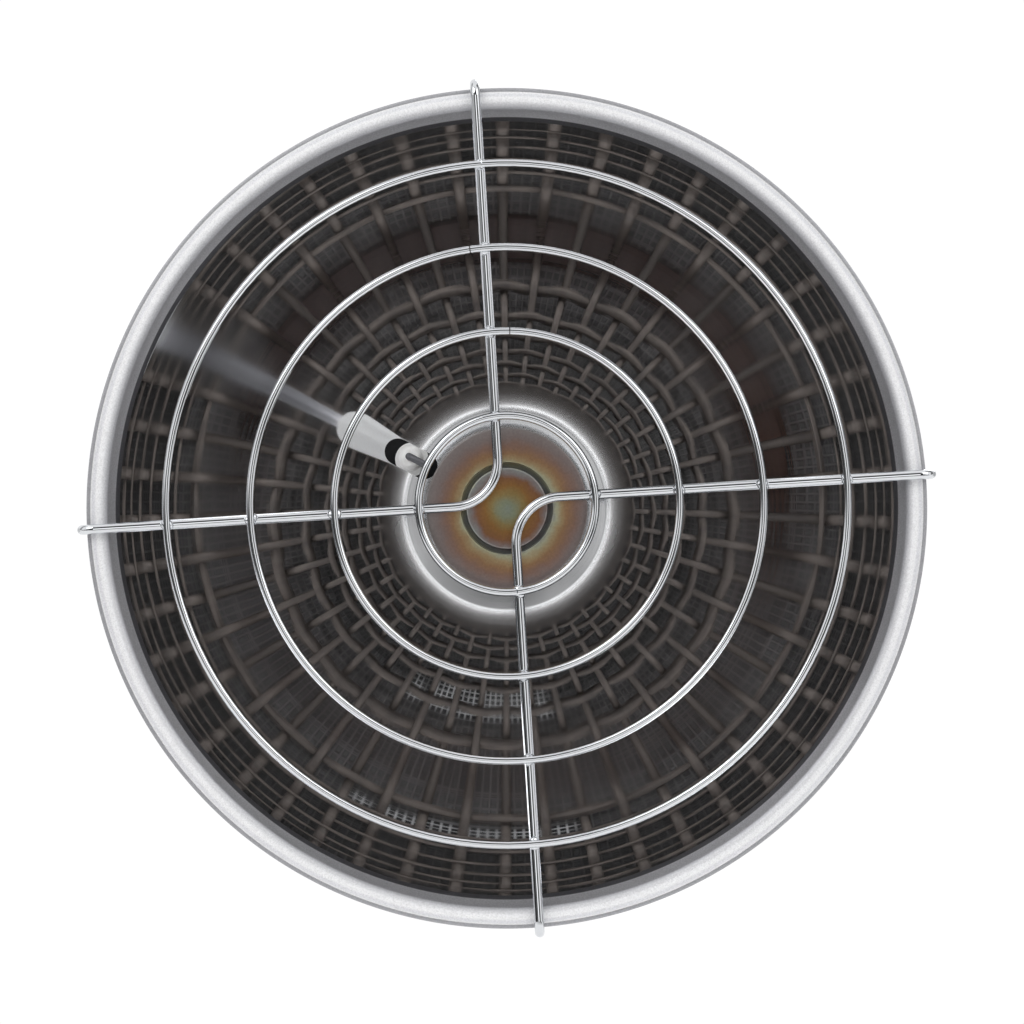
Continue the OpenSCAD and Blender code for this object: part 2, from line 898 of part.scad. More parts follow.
// The spark electrode: a ceramic tube with a collar and a rounded nose, and a wire that stands
// along the burner and turns to point at the top of its screen
module electrode_insulator() {
    color("white")
        on_electrode()
            difference() {
                union() {
                    rotate_extrude()
                        polygon(concat(
                            [[0, -ceramic_back], [ceramic_r, -ceramic_back]],
                            [
                                for (a = [0:15:90])
                                    [
                                        ceramic_end_r + (ceramic_r - ceramic_end_r) * cos(a),
                                        ceramic_front - ceramic_nose * (1 - sin(a))
                                    ]
                            ],
                            [[0, ceramic_front]]
                        ));
                    translate([0, 0, -electrode_stand])
                        cylinder(h = collar_t, r = collar_r);
                }
                translate([0, 0, -ceramic_back - past])
                    cylinder(h = ceramic_back + ceramic_front + 2 * past, r = electrode_wire_r + running);
            }
}

module electrode_wire() {
    back = ceramic_back + wire_tail;
    front = burner_h - electrode_tip_set;
    tip = electrode_r - cap_r - spark_gap;
    color("gray")
        on_electrode() {
            translate([0, 0, -back])
                cylinder(h = back + front, r = electrode_wire_r);
            translate([-electrode_bend_r, 0, front])
                rotate([90, 0, 0])
                    wire_arc(electrode_bend_r, 2 * electrode_wire_r, 90);
            translate([-tip, 0, front + electrode_bend_r])
                rod_x(0, tip - electrode_bend_r, electrode_wire_r);
        }
}

module electrode_bracket() {
    inner = leg_x + sheet_t;
    outer = inner + electrode_sheet_t;
    flange_len = electrode_flange_end - electrode_stand;
    color("darkgray")
        on_dish()
            difference() {
                union() {
                    translate([0, 0, -electrode_stand - electrode_sheet_t])
                        linear_extrude(electrode_sheet_t) {
                            translate([electrode_x, electrode_y])
                                circle(r = electrode_eye_r);
                            translate([electrode_x, electrode_flange_low])
                                square([-electrode_x - inner, electrode_flange_h]);
                        }
                    translate([-outer, electrode_flange_low, -electrode_flange_end])
                        cube([electrode_sheet_t, electrode_flange_h, flange_len]);
                }
                translate([electrode_x, electrode_y, -electrode_stand - electrode_sheet_t - past])
                    cylinder(h = electrode_sheet_t + 2 * past, r = ceramic_r + snug);
                translate([0, electrode_screw_at[0], electrode_screw_at[1]])
                    rod_x(-outer - past, electrode_sheet_t + 2 * past, base_screw_r + 2 * snug);
            }
}

module electrode_clip() {
    color("gray")
        on_electrode()
            translate([0, 0, -electrode_stand - electrode_sheet_t - clip_t])
                tube(clip_t, ceramic_r + clip_w, ceramic_r + snug);
}

module electrode_screw() {
    color("gainsboro")
        on_dish()
            translate([-leg_x - sheet_t - electrode_sheet_t, electrode_screw_at[0], electrode_screw_at[1]])
                rotate([0, -90, 0])
                    pan_screw(base_screw_r, electrode_sheet_t + sheet_t + electrode_screw_grip);
}

// The high-voltage lead, from the igniter's side terminal round to the back of the electrode
function bezier(p, t) =
    pow(1 - t, 3) * p[0] + 3 * t * pow(1 - t, 2) * p[1] + 3 * t * t * (1 - t) * p[2] + t * t * t * p[3];
lead_start = [igniter_x, igniter_y + igniter_r + side_boot_len, -terminal_back];
lead_end = [electrode_x, electrode_y, -ceramic_back - boot_len - snug];
lead_controls = [lead_start, lead_start + [0, lead_pull, 0], lead_end - [0, 0, lead_pull], lead_end];

module ignition_lead() {
    path = concat(
        [lead_start - [0, boot_grip, 0]],
        [for (i = [0:lead_steps]) bezier(lead_controls, i / lead_steps)],
        [lead_end + [0, 0, boot_grip]]
    );
    color("firebrick")
        on_dish()
            swept_tube(path, lead_r, lead_sides, [1, 0, 0]);
}

// A rubber boot over a terminal: the lead enters at z = 0 and the terminal at the other end
module boot(len, terminal_len) {
    difference() {
        cylinder(h = len, r = boot_r);
        translate([0, 0, -past])
            cylinder(h = boot_grip + snug + past, r = lead_r + 2 * snug);
        translate([0, 0, len - terminal_len])
            cylinder(h = terminal_len + past, r = electrode_wire_r + running);
    }
}

module lead_boots() {
    color("black")
        on_dish() {
            translate(lead_end)
                boot(boot_len, wire_tail + running);
            translate(lead_start)
                rotate([90, 0, 0])
                    boot(side_boot_len - snug, past);
        }
}

// The push-button igniter hangs in the panel by its threaded collar
module igniter_body() {
    color("black")
        on_dish()
            translate([igniter_x, igniter_y, sheet_t - leg_back])
                difference() {
                    union() {
                        turned(igniter_len, igniter_r, igniter_chamfer);
                        translate([0, 0, -collar_thread_len])
                            cylinder(h = collar_thread_len + past, r = collar_thread_r);
                    }
                    translate([0, 0, -collar_thread_len - past])
                        cylinder(h = collar_thread_len + button_travel, r = button_r + 2 * running);
                }
}

module igniter_nut() {
    color("black")
        on_dish()
            translate([igniter_x, igniter_y, -leg_back - igniter_nut_h])
                difference() {
                    nut_blank(igniter_nut_h, igniter_nut_af);
                    translate([0, 0, -past])
                        cylinder(h = igniter_nut_h + 2 * past, r = collar_thread_r + running);
                }
}

module igniter_button() {
    mouth = sheet_t - collar_thread_len - leg_back;
    color("firebrick")
        on_dish()
            translate([igniter_x, igniter_y, mouth - button_travel - loose]) {
                cylinder(h = collar_thread_len, r = button_r);
                translate([0, 0, -button_cap_h])
                    intersection() {
                        cylinder(h = button_cap_h + snug, r = button_cap_r);
                        translate([0, 0, button_crown_r])
                            sphere(r = button_crown_r);
                    }
            }
}

// The valve block: a fork around the swivel eye, the tap across it, and a spigot for the jet
module valve_block() {
    low = block_half_h - block_chamfer;
    near = block_back + block_chamfer;
    far = block_front - block_chamfer;
    color("goldenrod")
        on_pivot()
            difference() {
                union() {
                    rotate([90, 0, 90])
                        translate([0, 0, -block_w / 2])
                            linear_extrude(block_w)
                                polygon([
                                    [-block_back, -low],
                                    [-near, -block_half_h],
                                    [-far, -block_half_h],
                                    [-block_front, -low],
                                    [-block_front, low],
                                    [-far, block_half_h],
                                    [-near, block_half_h],
                                    [-block_back, low]
                                ]);
                    for (x = [ear_in, -block_w / 2])
                        translate([x, 0, 0])
                            rotate([0, 90, 0])
                                linear_extrude(block_w / 2 - ear_in) {
                                    translate([-low, -near])
                                        square([2 * low, near]);
                                    circle(r = eye_r);
                                }
                    rod_y(-block_front - spigot_len, spigot_len + past, mix_r - mix_t - running);
                    translate([0, tap_y, 0])
                        rod_x(leg_x - past, tap_boss_len + past, tap_boss_r);
                }
                rod_x(-block_w, 2 * block_w, pivot_r + running);
                translate([0, tap_y, 0]) {
                    rod_x(-plug_in - tap_spring_room, block_w, plug_r + running);
                    rod_x(plug_out + snug, block_w, gland_r + running);
                }
                translate([gallery_x, 0, 0])
                    rod_y(tap_y, -tap_y, gas_r);
                rod_y(-block_front - spigot_len - past, block_front + spigot_len + past + tap_y, gas_r);
                rod_y(-block_front - spigot_len - past, spigot_len + past, jet_thread_r + running);
                for (at = block_screw_at, side = [0, 1])
                    mirror([side, 0, 0])
                        translate([0, at[0], at[1]])
                            rod_x(leg_x - block_screw_len - screw_room, leg_x, block_screw_r + running);
            }
}

// The brass jet: a threaded stub in the spigot, a hexagon and a nose with the metering hole
module jet() {
    length = jet_thread_len + jet_hex_h + jet_nose_h;
    feed = length - 2;
    color("gold")
        on_pivot()
            translate([0, jet_thread_len - block_front - spigot_len, 0])
                rotate([90, 0, 0])
                    difference() {
                        union() {
                            cylinder(h = jet_thread_len + past, r = jet_thread_r);
                            translate([0, 0, jet_thread_len])
                                hexagon(jet_hex_h, jet_hex_af);
                            cylinder(h = length, r = jet_nose_r);
                        }
                        translate([0, 0, -past])
                            cylinder(h = feed + past, r = jet_feed_r);
                        cylinder(h = length + past, r = jet_hole_r);
                    }
}

module gland_nut() {
    color("gold")
        on_pivot()
            translate([0, tap_y, 0])
                rotate([0, 90, 0])
                    difference() {
                        union() {
                            translate([0, 0, plug_out + 2 * snug])
                                cylinder(h = gland_x - plug_out, r = gland_r);
                            translate([0, 0, gland_x])
                                nut_blank(gland_head, gland_af);
                        }
                        translate([0, 0, plug_out])
                            cylinder(h = knob_x - plug_out, r = stem_r + running);
                    }
}

// The rotary tap: a plug with a cross port, and the stem with a flat that the knob grips
module valve_plug() {
    stem_end = knob_x + knob_w - knob_top_t - past;
    color("gold")
        on_pivot()
            translate([0, tap_y, 0])
                difference() {
                    union() {
                        rod_x(-plug_in, plug_in + plug_out, plug_r);
                        rod_x(plug_out - past, stem_end - plug_out + past, stem_r);
                    }
                    translate([gallery_x - gas_r, 0, 0])
                        rotate([0, 90, 0])
                            tube(2 * gas_r, plug_r + past, plug_r - plug_groove);
                    rod_x(-port_r, gallery_x + 2 * port_r, port_r);
                    cylinder(h = plug_r + past, r = port_r);
                    translate([gallery_x, 0, -plug_r])
                        cylinder(h = plug_r, r = port_r);
                    translate([knob_x, -stem_r, stem_r - stem_flat])
                        cube([knob_w, 2 * stem_r, stem_r]);
                }
}

module valve_spring() {
    color("silver")
        on_pivot()
            translate([-plug_in - tap_spring_room + snug, tap_y, 0])
                rotate([0, 90, 0])
                    coil_spring(tap_spring_r, tap_spring_wire_r, tap_spring_room - 2 * snug, 4);
}

module knob() {
    color("black")
        on_pivot()
            translate([knob_x, tap_y, 0])
                difference() {
                    rotate([0, 90, 0])
                        rotate_extrude()
                            polygon([
                                [0, 0],
                                [knob_r, 0],
                                [knob_r, knob_skirt],
                                [knob_grip_r, knob_skirt + 1],
                                [knob_grip_r - 1, knob_w - 2],
                                [knob_face_r, knob_w],
                                [0, knob_w]
                            ]);
                    for (i = [0:knob_flutes - 1])
                        rotate([i * 360 / knob_flutes, 0, 0])
                            translate([0, 0, knob_r + 1])
                                rod_x(knob_skirt + 1, knob_w, knob_flute_r);
                    difference() {
                        rod_x(-past, knob_w - knob_top_t + past, stem_r + running);
                        translate([0, -stem_r - past, stem_r - stem_flat + running])
                            cube([knob_w, 2 * stem_r + 2 * past, stem_r]);
                    }
                    translate([knob_screw_at, 0, 0])
                        cylinder(h = knob_r, r = knob_screw_r + running);
                    translate([knob_w - pointer_depth, -pointer_w / 2, pointer_in])
                        cube([pointer_depth + past, pointer_w, knob_r]);
                }
}

module knob_screw() {
    color("silver")
        on_pivot()
            translate([knob_x + knob_screw_at, tap_y, stem_r - stem_flat + 2 * running])
                difference() {
                    cylinder(h = knob_screw_len, r = knob_screw_r);
                    translate([0, 0, knob_screw_len - socket_depth])
                        hexagon(socket_depth + past, knob_screw_r);
                }
}

// The pivot: a hollow bolt through both ears and the eye, with its seals, washers and nut
module bolt_groove(x, width, depth) {
    translate([x - width / 2, 0, 0])
        rotate([0, 90, 0])
            tube(width, pivot_r + past, pivot_r - depth);
}

module pivot_bolt() {
    color("lightgray")
        on_pivot()
            difference() {
                union() {
                    rod_x(-leg_x, 2 * leg_x - snug, pivot_r);
                    rod_x(leg_x - past, pivot_nut_w + 2 * past, bolt_thread_r);
                    translate([-leg_x - bolt_head_h, 0, 0])
                        rotate([0, 90, 0])
                            nut_blank(bolt_head_h, bolt_af);
                }
                bolt_groove(0, bolt_gas_groove_w, bolt_gas_groove);
                for (x = [-seal_at, seal_at])
                    bolt_groove(x, seal_groove_w, seal_groove);
                rod_x(-gas_r, gallery_x + 2 * gas_r, gas_r);
                translate([0, 0, -pivot_r])
                    cylinder(h = pivot_r, r = port_r);
                translate([gallery_x, 0, 0])
                    rod_y(-pivot_r - past, pivot_r + past, port_r);
            }
}

module pivot_nut() {
    color("lightgray")
        on_pivot()
            translate([leg_x, 0, 0])
                rotate([0, 90, 0])
                    difference() {
                        nut_blank(pivot_nut_w, pivot_nut_af);
                        translate([0, 0, -past])
                            cylinder(h = pivot_nut_w + 2 * past, r = bolt_thread_r + running);
                    }
}

module pivot_seals() {
    color("black")
        on_pivot()
            for (x = [-seal_at, seal_at])
                translate([x, 0, 0])
                    rotate([0, 90, 0])
                        wire_arc(seal_mid_r, 2 * seal_r, 360);
}

module friction_washers() {
    color("saddlebrown")
        on_pivot()
            for (x = [eye_w / 2 + snug, -ear_in + snug])
                translate([x, 0, 0])
                    rotate([0, 90, 0])
                        tube(washer_t, washer_r, washer_hole_r);
}

// The forged outlet: a hollow neck that screws into the regulator and ends in the swivel eye
module swivel_eye() {
    color("goldenrod")
        on_pivot()
            difference() {
                union() {
                    rod_x(-eye_w / 2, eye_w, eye_r);
                    translate([0, 0, -neck_h])
                        cylinder(h = neck_h, r = neck_r);
                    translate([0, 0, -neck_h])
                        nut_blank(neck_hex_h, neck_hex_af);
                    translate([0, 0, -neck_h - stem_thread_len])
                        cylinder(h = stem_thread_len + past, r = stem_thread_r);
                }
                rod_x(-eye_w, 2 * eye_w, pivot_r + snug);
                translate([0, 0, -neck_h - stem_thread_len - past])
                    cylinder(h = stem_thread_len + neck_h + past, r = bore_r);
            }
}

module cover_screw_places() {
    step = 360 / cover_screw_count;
    for (i = [0:cover_screw_count - 1])
        rotate([0, (i + 0.5) * step, 0])
            translate([0, 0, cover_screw_at])
                children();
}

// The die-cast regulator: the inlet boss below, the diaphragm chamber behind, the outlet on top
module grip_boss() {
    difference() {
        turned(boss_h, boss_r, body_chamfer);
        for (i = [0:boss_flutes - 1])
            rotate([0, 0, (i + 0.5) * 360 / boss_flutes])
                translate([boss_r + flute_r / 2, 0, -past])
                    cylinder(h = boss_h + 2 * past, r = flute_r);
    }
}

module regulator_body() {
    screw_end = chamber_back - cover_screw_grip - screw_room;
    color("gray")
        difference() {
            union() {
                grip_boss();
                translate([0, 0, boss_h / 2])
                    turned(body_top - boss_h / 2, core_r, body_chamfer);
                translate([0, chamber_front, chamber_h])
                    rotate([-90, 0, 0])
                        turned(chamber_back - chamber_front, chamber_r, body_chamfer);
            }
            translate([0, 0, -past])
                cylinder(h = inlet_depth + past, r = inlet_r);
            translate([0, 0, inlet_len])
                cylinder(h = relief_w, r = inlet_r + relief_depth);
            cylinder(h = body_top, r = bore_r);
            translate([0, 0, body_top - stem_thread_len - screw_room])
                cylinder(h = stem_thread_len + screw_room + past, r = stem_thread_r + running);
            translate([0, 0, inlet_depth - past])
                cylinder(h = pin_plug_h + snug + past, r = pin_plug_r + running);
            translate([0, 0, chamber_h]) {
                rod_y(chamber_back - cavity_depth, cavity_depth + past, cavity_r);
                translate([0, 0, -sense_drop])
                    rod_y(0, chamber_back, gas_r);
                cover_screw_places()
                    rod_y(screw_end, chamber_back, cover_screw_r + running);
            }
        }
}

// The cover: a flange on the diaphragm and a stepped dome over the spring, with a breather hole
module regulator_cover() {
    dome_in = spring_coil_r + 2;
    dome_out = dome_in + cover_t;
    step_in = cavity_r - 3;
    step_out = step_in + 1.5;
    color("gray")
        translate([0, chamber_back + diaphragm_t, chamber_h])
            difference() {
                rotate([-90, 0, 0])
                    rotate_extrude()
                        polygon([
                            [0, cover_depth],
                            [dome_out - 1, cover_depth],
                            [dome_out, cover_depth - 1],
                            [dome_out, 3 * cover_t],
                            [dome_out + 1, 2.5 * cover_t],
                            [step_out - 0.5, 2 * cover_t],
                            [step_out, cover_t],
                            [chamber_r - 0.5, cover_t],
                            [chamber_r, cover_t - 0.5],
                            [chamber_r, 0],
                            [step_in, 0],
                            [step_in, cover_t],
                            [dome_in, 2 * cover_t],
                            [dome_in, cover_depth - cover_t],
                            [0, cover_depth - cover_t]
                        ]);
                translate([0, 0, (dome_out + step_out) / 2])
                    rod_y(-past, 4 * cover_t, breather_r);
                cover_screw_places()
                    rod_y(-past, cover_t + 2 * past, cover_screw_r + 2 * snug);
            }
}

module cover_screws() {
    color("gainsboro")
        translate([0, chamber_back + diaphragm_t + cover_t, chamber_h])
            cover_screw_places()
                rotate([-90, 0, 0])
                    pan_screw(cover_screw_r, cover_t + diaphragm_t + cover_screw_grip);
}

module diaphragm() {
    color("black")
        translate([0, chamber_back, chamber_h])
            difference() {
                rod_y(0, diaphragm_t, chamber_r - screw_room);
                cover_screw_places()
                    rod_y(-past, diaphragm_t + 2 * past, cover_screw_r + 2 * snug);
            }
}

module diaphragm_plate() {
    color("silver")
        translate([0, chamber_back + diaphragm_t, chamber_h])
            rod_y(0, plate_t, spring_coil_r + 1.5);
}

module regulator_spring() {
    room = cover_depth - cover_t - plate_t;
    color("silver")
        translate([0, chamber_back + diaphragm_t + plate_t + snug, chamber_h])
            rotate([-90, 0, 0])
                coil_spring(spring_coil_r, spring_wire_r, room - 2 * snug, 5);
}

module inlet_seal() {
    color("black")
        translate([0, 0, inlet_depth - seal_t])
            tube(seal_t - snug, inlet_r - running, seal_hole_r);
}

// The pin that opens the cylinder's valve as the heater is screwed on
module inlet_pin() {
    color("gold")
        difference() {
            union() {
                translate([0, 0, inlet_len + pin_rise])
                    cylinder(h = inlet_depth - inlet_len, r = pin_r);
                translate([0, 0, inlet_depth - pin_flange_h])
                    cylinder(h = pin_flange_h - snug, r = pin_flange_r);
                translate([0, 0, inlet_depth - pin_flange_h / 2])
                    cylinder(h = pin_plug_h + pin_flange_h / 2, r = pin_plug_r);
            }
            translate([0, 0, inlet_len])
                cylinder(h = 2 * inlet_depth, r = pin_hole_r);
        }
}

reflector();
guard_spoke_upper();
guard_spoke_lower();
guard_ring(1);  // guard_ring_1
guard_ring(2);  // guard_ring_2
guard_ring(3);  // guard_ring_3
guard_ring(4);  // guard_ring_4
burner_cap();
radiant_screen();
flame_screen();
diffuser_tube();
burner_base();
mixing_tube();
base_screws();
rear_bracket();
bracket_screws();
electrode_insulator();
electrode_wire();
electrode_bracket();
electrode_clip();
electrode_screw();
ignition_lead();
lead_boots();
igniter_body();
igniter_nut();
igniter_button();
valve_block();
jet();
gland_nut();
valve_plug();
valve_spring();
knob();
knob_screw();
pivot_bolt();
pivot_nut();
pivot_seals();
friction_washers();
swivel_eye();
regulator_body();
regulator_cover();
cover_screws();
diaphragm();
diaphragm_plate();
regulator_spring();
inlet_seal();
inlet_pin();
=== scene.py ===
"""Looks for a parabolic gas heater head: mirror dish, woven burner, chromed wire guard, brass tap
and die-cast regulator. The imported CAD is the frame. Metres, with +Z up and the dish facing -Y."""
import bmesh
import bpy
import numpy as np
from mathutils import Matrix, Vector


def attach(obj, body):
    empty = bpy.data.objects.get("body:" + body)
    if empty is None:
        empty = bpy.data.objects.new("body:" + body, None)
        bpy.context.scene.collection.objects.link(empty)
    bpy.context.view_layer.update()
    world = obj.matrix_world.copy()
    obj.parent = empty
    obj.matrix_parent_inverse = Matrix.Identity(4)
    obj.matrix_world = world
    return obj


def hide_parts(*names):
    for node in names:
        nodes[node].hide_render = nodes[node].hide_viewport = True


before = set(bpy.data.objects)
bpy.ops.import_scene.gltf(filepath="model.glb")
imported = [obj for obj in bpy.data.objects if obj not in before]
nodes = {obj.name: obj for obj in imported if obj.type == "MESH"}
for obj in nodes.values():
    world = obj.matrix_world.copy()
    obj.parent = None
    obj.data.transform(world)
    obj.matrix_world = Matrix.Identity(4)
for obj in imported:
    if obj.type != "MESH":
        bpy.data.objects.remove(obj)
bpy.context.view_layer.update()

MM = 0.001
AXIS_H = 90.0            # the dish's axis above the inlet's mouth, mm
DISH_SET = 58.0          # the dish's flat bottom in front of the tilt axis, mm
TAU = 2 * np.pi
WELD = 1e-7              # points nearer than this are one, m


# ---------------------------------------------------------------- shapes

def on_dish(points):
    """Points of the dish's own frame (x right, y up, z forward, in mm) in the part's, in metres."""
    p = np.asarray(points, float)
    return np.stack([p[..., 0], -DISH_SET - p[..., 2], AXIS_H + p[..., 1]], axis=-1) * MM


def surface(name, points, faces, sharp=32.0):
    """A mesh object from points (n, 3) and faces of three or more corners. It is smooth except at
    edges sharper than the given angle, and its normals point outwards."""
    mesh = bpy.data.meshes.new(name)
    mesh.from_pydata(np.asarray(points).tolist(), [], [tuple(int(k) for k in f) for f in faces])
    work = bmesh.new()
    work.from_mesh(mesh)
    bmesh.ops.remove_doubles(work, verts=work.verts, dist=WELD)
    bmesh.ops.recalc_face_normals(work, faces=work.faces)
    work.to_mesh(mesh)
    work.free()
    mesh.shade_smooth()
    mesh.set_sharp_from_angle(angle=np.radians(sharp))
    piece = bpy.data.objects.new(name, mesh)
    bpy.context.scene.collection.objects.link(piece)
    return piece


def grid_faces(rows, cols, ring_rows=False, ring_cols=False, first=0):
    """Quads of a grid of rows x cols points, numbered row by row. A ring joins its last line to its
    first."""
    r = np.arange(rows if ring_rows else rows - 1)[:, None]
    c = np.arange(cols if ring_cols else cols - 1)[None, :]
    r1, c1 = (r + 1) % rows, (c + 1) % cols
    quad = np.stack([r * cols + c, r * cols + c1, r1 * cols + c1, r1 * cols + c], axis=-1)
    return quad.reshape(-1, 4) + first


def turned(name, profile, steps, sharp):
    """A closed profile of (radius, height) points turned about the dish's axis: a point at angle t
    is (r cos t, r sin t, h)."""
    profile = np.asarray(profile, float)
    t = np.arange(steps) * TAU / steps
    r, h = profile[:, 0][:, None], profile[:, 1][:, None]
    points = np.stack([r * np.cos(t), r * np.sin(t), h + 0 * t], axis=-1)
    faces = grid_faces(len(profile), steps, ring_rows=True, ring_cols=True)
    return surface(name, on_dish(points).reshape(-1, 3), faces, sharp)


def tube_points(path, radius, sides, up):
    """Rings round a path: path + radius (cos t side + sin t other), where side is the path's
    direction crossed with up, and other is square to both."""
    path = np.asarray(path, float)
    ahead = np.gradient(path, axis=0)
    ahead /= np.linalg.norm(ahead, axis=1, keepdims=True)
    side = np.cross(ahead, np.broadcast_to(up, ahead.shape))
    side /= np.linalg.norm(side, axis=1, keepdims=True)
    other = np.cross(side, ahead)
    t = (np.arange(sides) * TAU / sides)[None, :, None]
    return path[:, None] + radius * (np.cos(t) * side[:, None] + np.sin(t) * other[:, None])


def tube_faces(rings, sides, looped, first=0):
    """The wall of a tube, with flat ends if it isn't looped."""
    wall = grid_faces(rings, sides, ring_rows=looped, ring_cols=True, first=first)
    faces = [tuple(f) for f in wall]
    if not looped:
        last = first + (rings - 1) * sides
        faces += [tuple(range(first, first + sides)), tuple(range(last, last + sides))]
    return faces


# ---------------------------------------------------------------- materials

def linear(code):
    """A colour given as sRGB hex, turned linear."""
    c = np.array([int(code[i:i + 2], 16) for i in (1, 3, 5)]) / 255
    c = np.where(c <= 0.04045, c / 12.92, ((c + 0.055) / 1.055) ** 2.4)
    return (*c.tolist(), 1.0)


def add(tree, kind, inputs=None, **settings):
    """Adds a node. settings are its properties. inputs are its sockets' values, or sockets to link
    from."""
    made = tree.nodes.new(kind)
    for name, value in settings.items():
        setattr(made, name, value)
    for name, value in (inputs or {}).items():
        if isinstance(value, bpy.types.NodeSocket):
            tree.links.new(value, made.inputs[name])
        else:
            made.inputs[name].default_value = value
    return made


def maths(tree, operation, *values):
    """The result of one step of arithmetic on numbers or sockets."""
    return add(tree, "ShaderNodeMath", dict(enumerate(values)), operation=operation).outputs[0]


def times(tree, colour, factor):
    """A colour or vector multiplied by another or by a number."""
    return add(tree, "ShaderNodeVectorMath", {0: colour, 1: factor},
               operation="MULTIPLY").outputs[0]


def length(tree, vector):
    """A vector's length."""
    return add(tree, "ShaderNodeVectorMath", {0: vector}, operation="LENGTH").outputs["Value"]


def blend(tree, factor, first, second):
    """The first colour where factor is 0, and the second where it is 1."""
    return add(tree, "ShaderNodeMix", {"Factor": factor, "A": first, "B": second},
               data_type="RGBA").outputs["Result"]


def finish(name, **constants):
    """A material with one Principled shader, whose constants are set on its own sockets.
    Returns the material, its tree and the shader."""
    material = bpy.data.materials.new(name)
    material.use_nodes = True
    tree = material.node_tree
    shader = tree.nodes["Principled BSDF"]
    for key, value in constants.items():
        shader.inputs[key.replace("_", " ")].default_value = value
    return material, tree, shader


def feed(tree, shader, **sockets):
    """Links sockets into the shader."""
    for key, socket in sockets.items():
        tree.links.new(socket, shader.inputs[key.replace("_", " ")])


def place_of(tree):
    """The place in the piece's own mesh, in metres."""
    return add(tree, "ShaderNodeTexCoord").outputs["Object"]


def axes(tree):
    """The same place as three numbers."""
    return add(tree, "ShaderNodeSeparateXYZ", {"Vector": place_of(tree)}).outputs


def across_dish(tree):
    """How far a place lies to the right of the dish's axis, and above it, in metres."""
    x, _, z = axes(tree)
    return x, maths(tree, "ADD", z, -AXIS_H * MM)


def dish_radius(tree):
    """The distance from the dish's axis, in mm."""
    right, up = across_dish(tree)
    flat = add(tree, "ShaderNodeCombineXYZ", {"X": right, "Y": up}).outputs[0]
    return maths(tree, "MULTIPLY", length(tree, flat), 1 / MM)


def dish_height(tree):
    """The height in front of the dish's flat bottom, in mm."""
    _, y, _ = axes(tree)
    return maths(tree, "MULTIPLY_ADD", y, -1 / MM, -DISH_SET)


def turn_from(tree, degrees):
    """How far a place lies round the dish's axis from the given direction, in degrees."""
    right, up = across_dish(tree)
    c, s = float(np.cos(np.radians(degrees))), float(np.sin(np.radians(degrees)))
    along = maths(tree, "MULTIPLY_ADD", up, s, maths(tree, "MULTIPLY", right, c))
    aside = maths(tree, "MULTIPLY_ADD", up, c, maths(tree, "MULTIPLY", right, -s))
    turn = maths(tree, "ARCTAN2", aside, along)
    return maths(tree, "DEGREES", maths(tree, "ABSOLUTE", turn))


def noise(tree, place, grain_mm, detail=3.0, rough=0.5):
    """Noise whose features are grain_mm across."""
    return add(tree, "ShaderNodeTexNoise", {"Vector": place, "Scale": 1 / (grain_mm * MM),
                                            "Detail": detail, "Roughness": rough}).outputs["Fac"]


def rings(tree, radius, per_mm, detail, rough=0.5):
    """Noise along the radius only, so that it draws rings round the dish's axis."""
    made = add(tree, "ShaderNodeTexNoise", {"W": radius, "Scale": per_mm, "Detail": detail,
                                            "Roughness": rough}, noise_dimensions="1D")
    return made.outputs["Fac"]


def ramp(tree, value, stops):
    """A colour ramp of (place, hex or grey) stops."""
    made = add(tree, "ShaderNodeValToRGB", {"Fac": value})
    band = made.color_ramp
    while len(band.elements) < len(stops):
        band.elements.new(0.5)
    for element, (at, colour) in zip(band.elements, stops):
        element.position = at
        element.color = linear(colour) if isinstance(colour, str) else (colour,) * 3 + (1.0,)
    return made.outputs["Color"]


def span(tree, value, low, high, to_low, to_high):
    """value mapped from low..high to to_low..to_high, and held there."""
    return add(tree, "ShaderNodeMapRange", {"Value": value, "From Min": low, "From Max": high,
                                            "To Min": to_low, "To Max": to_high}).outputs["Result"]


def relief(tree, height, depth_mm, **under):
    """Relief of depth_mm where height goes from 0 to 1. under is the Normal of relief below it."""
    return add(tree, "ShaderNodeBump", {"Height": height, "Distance": depth_mm * MM,
                                        **under}).outputs["Normal"]


BUFF_FROM, BUFF_FULL = 26.0, 38.0     # where the mop begins to reach, and where it does so fully
SMOKE_FROM, SMOKE_TO = 50.0, 104.0    # over which radii the smoke's haze grows
SMOKE_CORE, SMOKE_WIDE = 1.0, 9.0     # and its half width, full and faded out, degrees


def polished_aluminium():
    """Spun aluminium, buffed to a mirror: a clear reflection with faint rings from the spinning
    tool and the slow waves of hand buffing. The mop doesn't reach into the bend at the bottom,
    which stays hazy, and smoke from lighting has hazed a fan outside the electrode."""
    material, tree, shader = finish("polished_spun_aluminium", Metallic=1.0,
                                    Base_Color=linear("#EEEFF1"))
    place, radius = place_of(tree), dish_radius(tree)
    clear = span(tree, noise(tree, place, 30, 3.0, 0.55), 0.4, 0.72, 0.012, 0.04)
    unbuffed = ramp(tree, span(tree, radius, BUFF_FROM, BUFF_FULL, 0.0, 1.0), [
        (0.0, 0.05), (0.2, 0.06), (0.3, 0.14), (0.4, 0.25), (0.56, 0.24), (0.74, 0.09), (0.9, 0.0)])
    fan = span(tree, turn_from(tree, ELECTRODE_TURN), SMOKE_CORE, SMOKE_WIDE, 1.0, 0.0)
    smoke = maths(tree, "MULTIPLY", fan, span(tree, radius, SMOKE_FROM, SMOKE_TO, 0.02, 0.075))
    haze = maths(tree, "ADD", unbuffed, smoke)
    waves = relief(tree, noise(tree, place, 75, 0.0), 0.18)
    feed(tree, shader, Roughness=maths(tree, "ADD", clear, haze),
         Normal=relief(tree, rings(tree, radius, 0.9, 3.0), 0.001, Normal=waves))
    return material


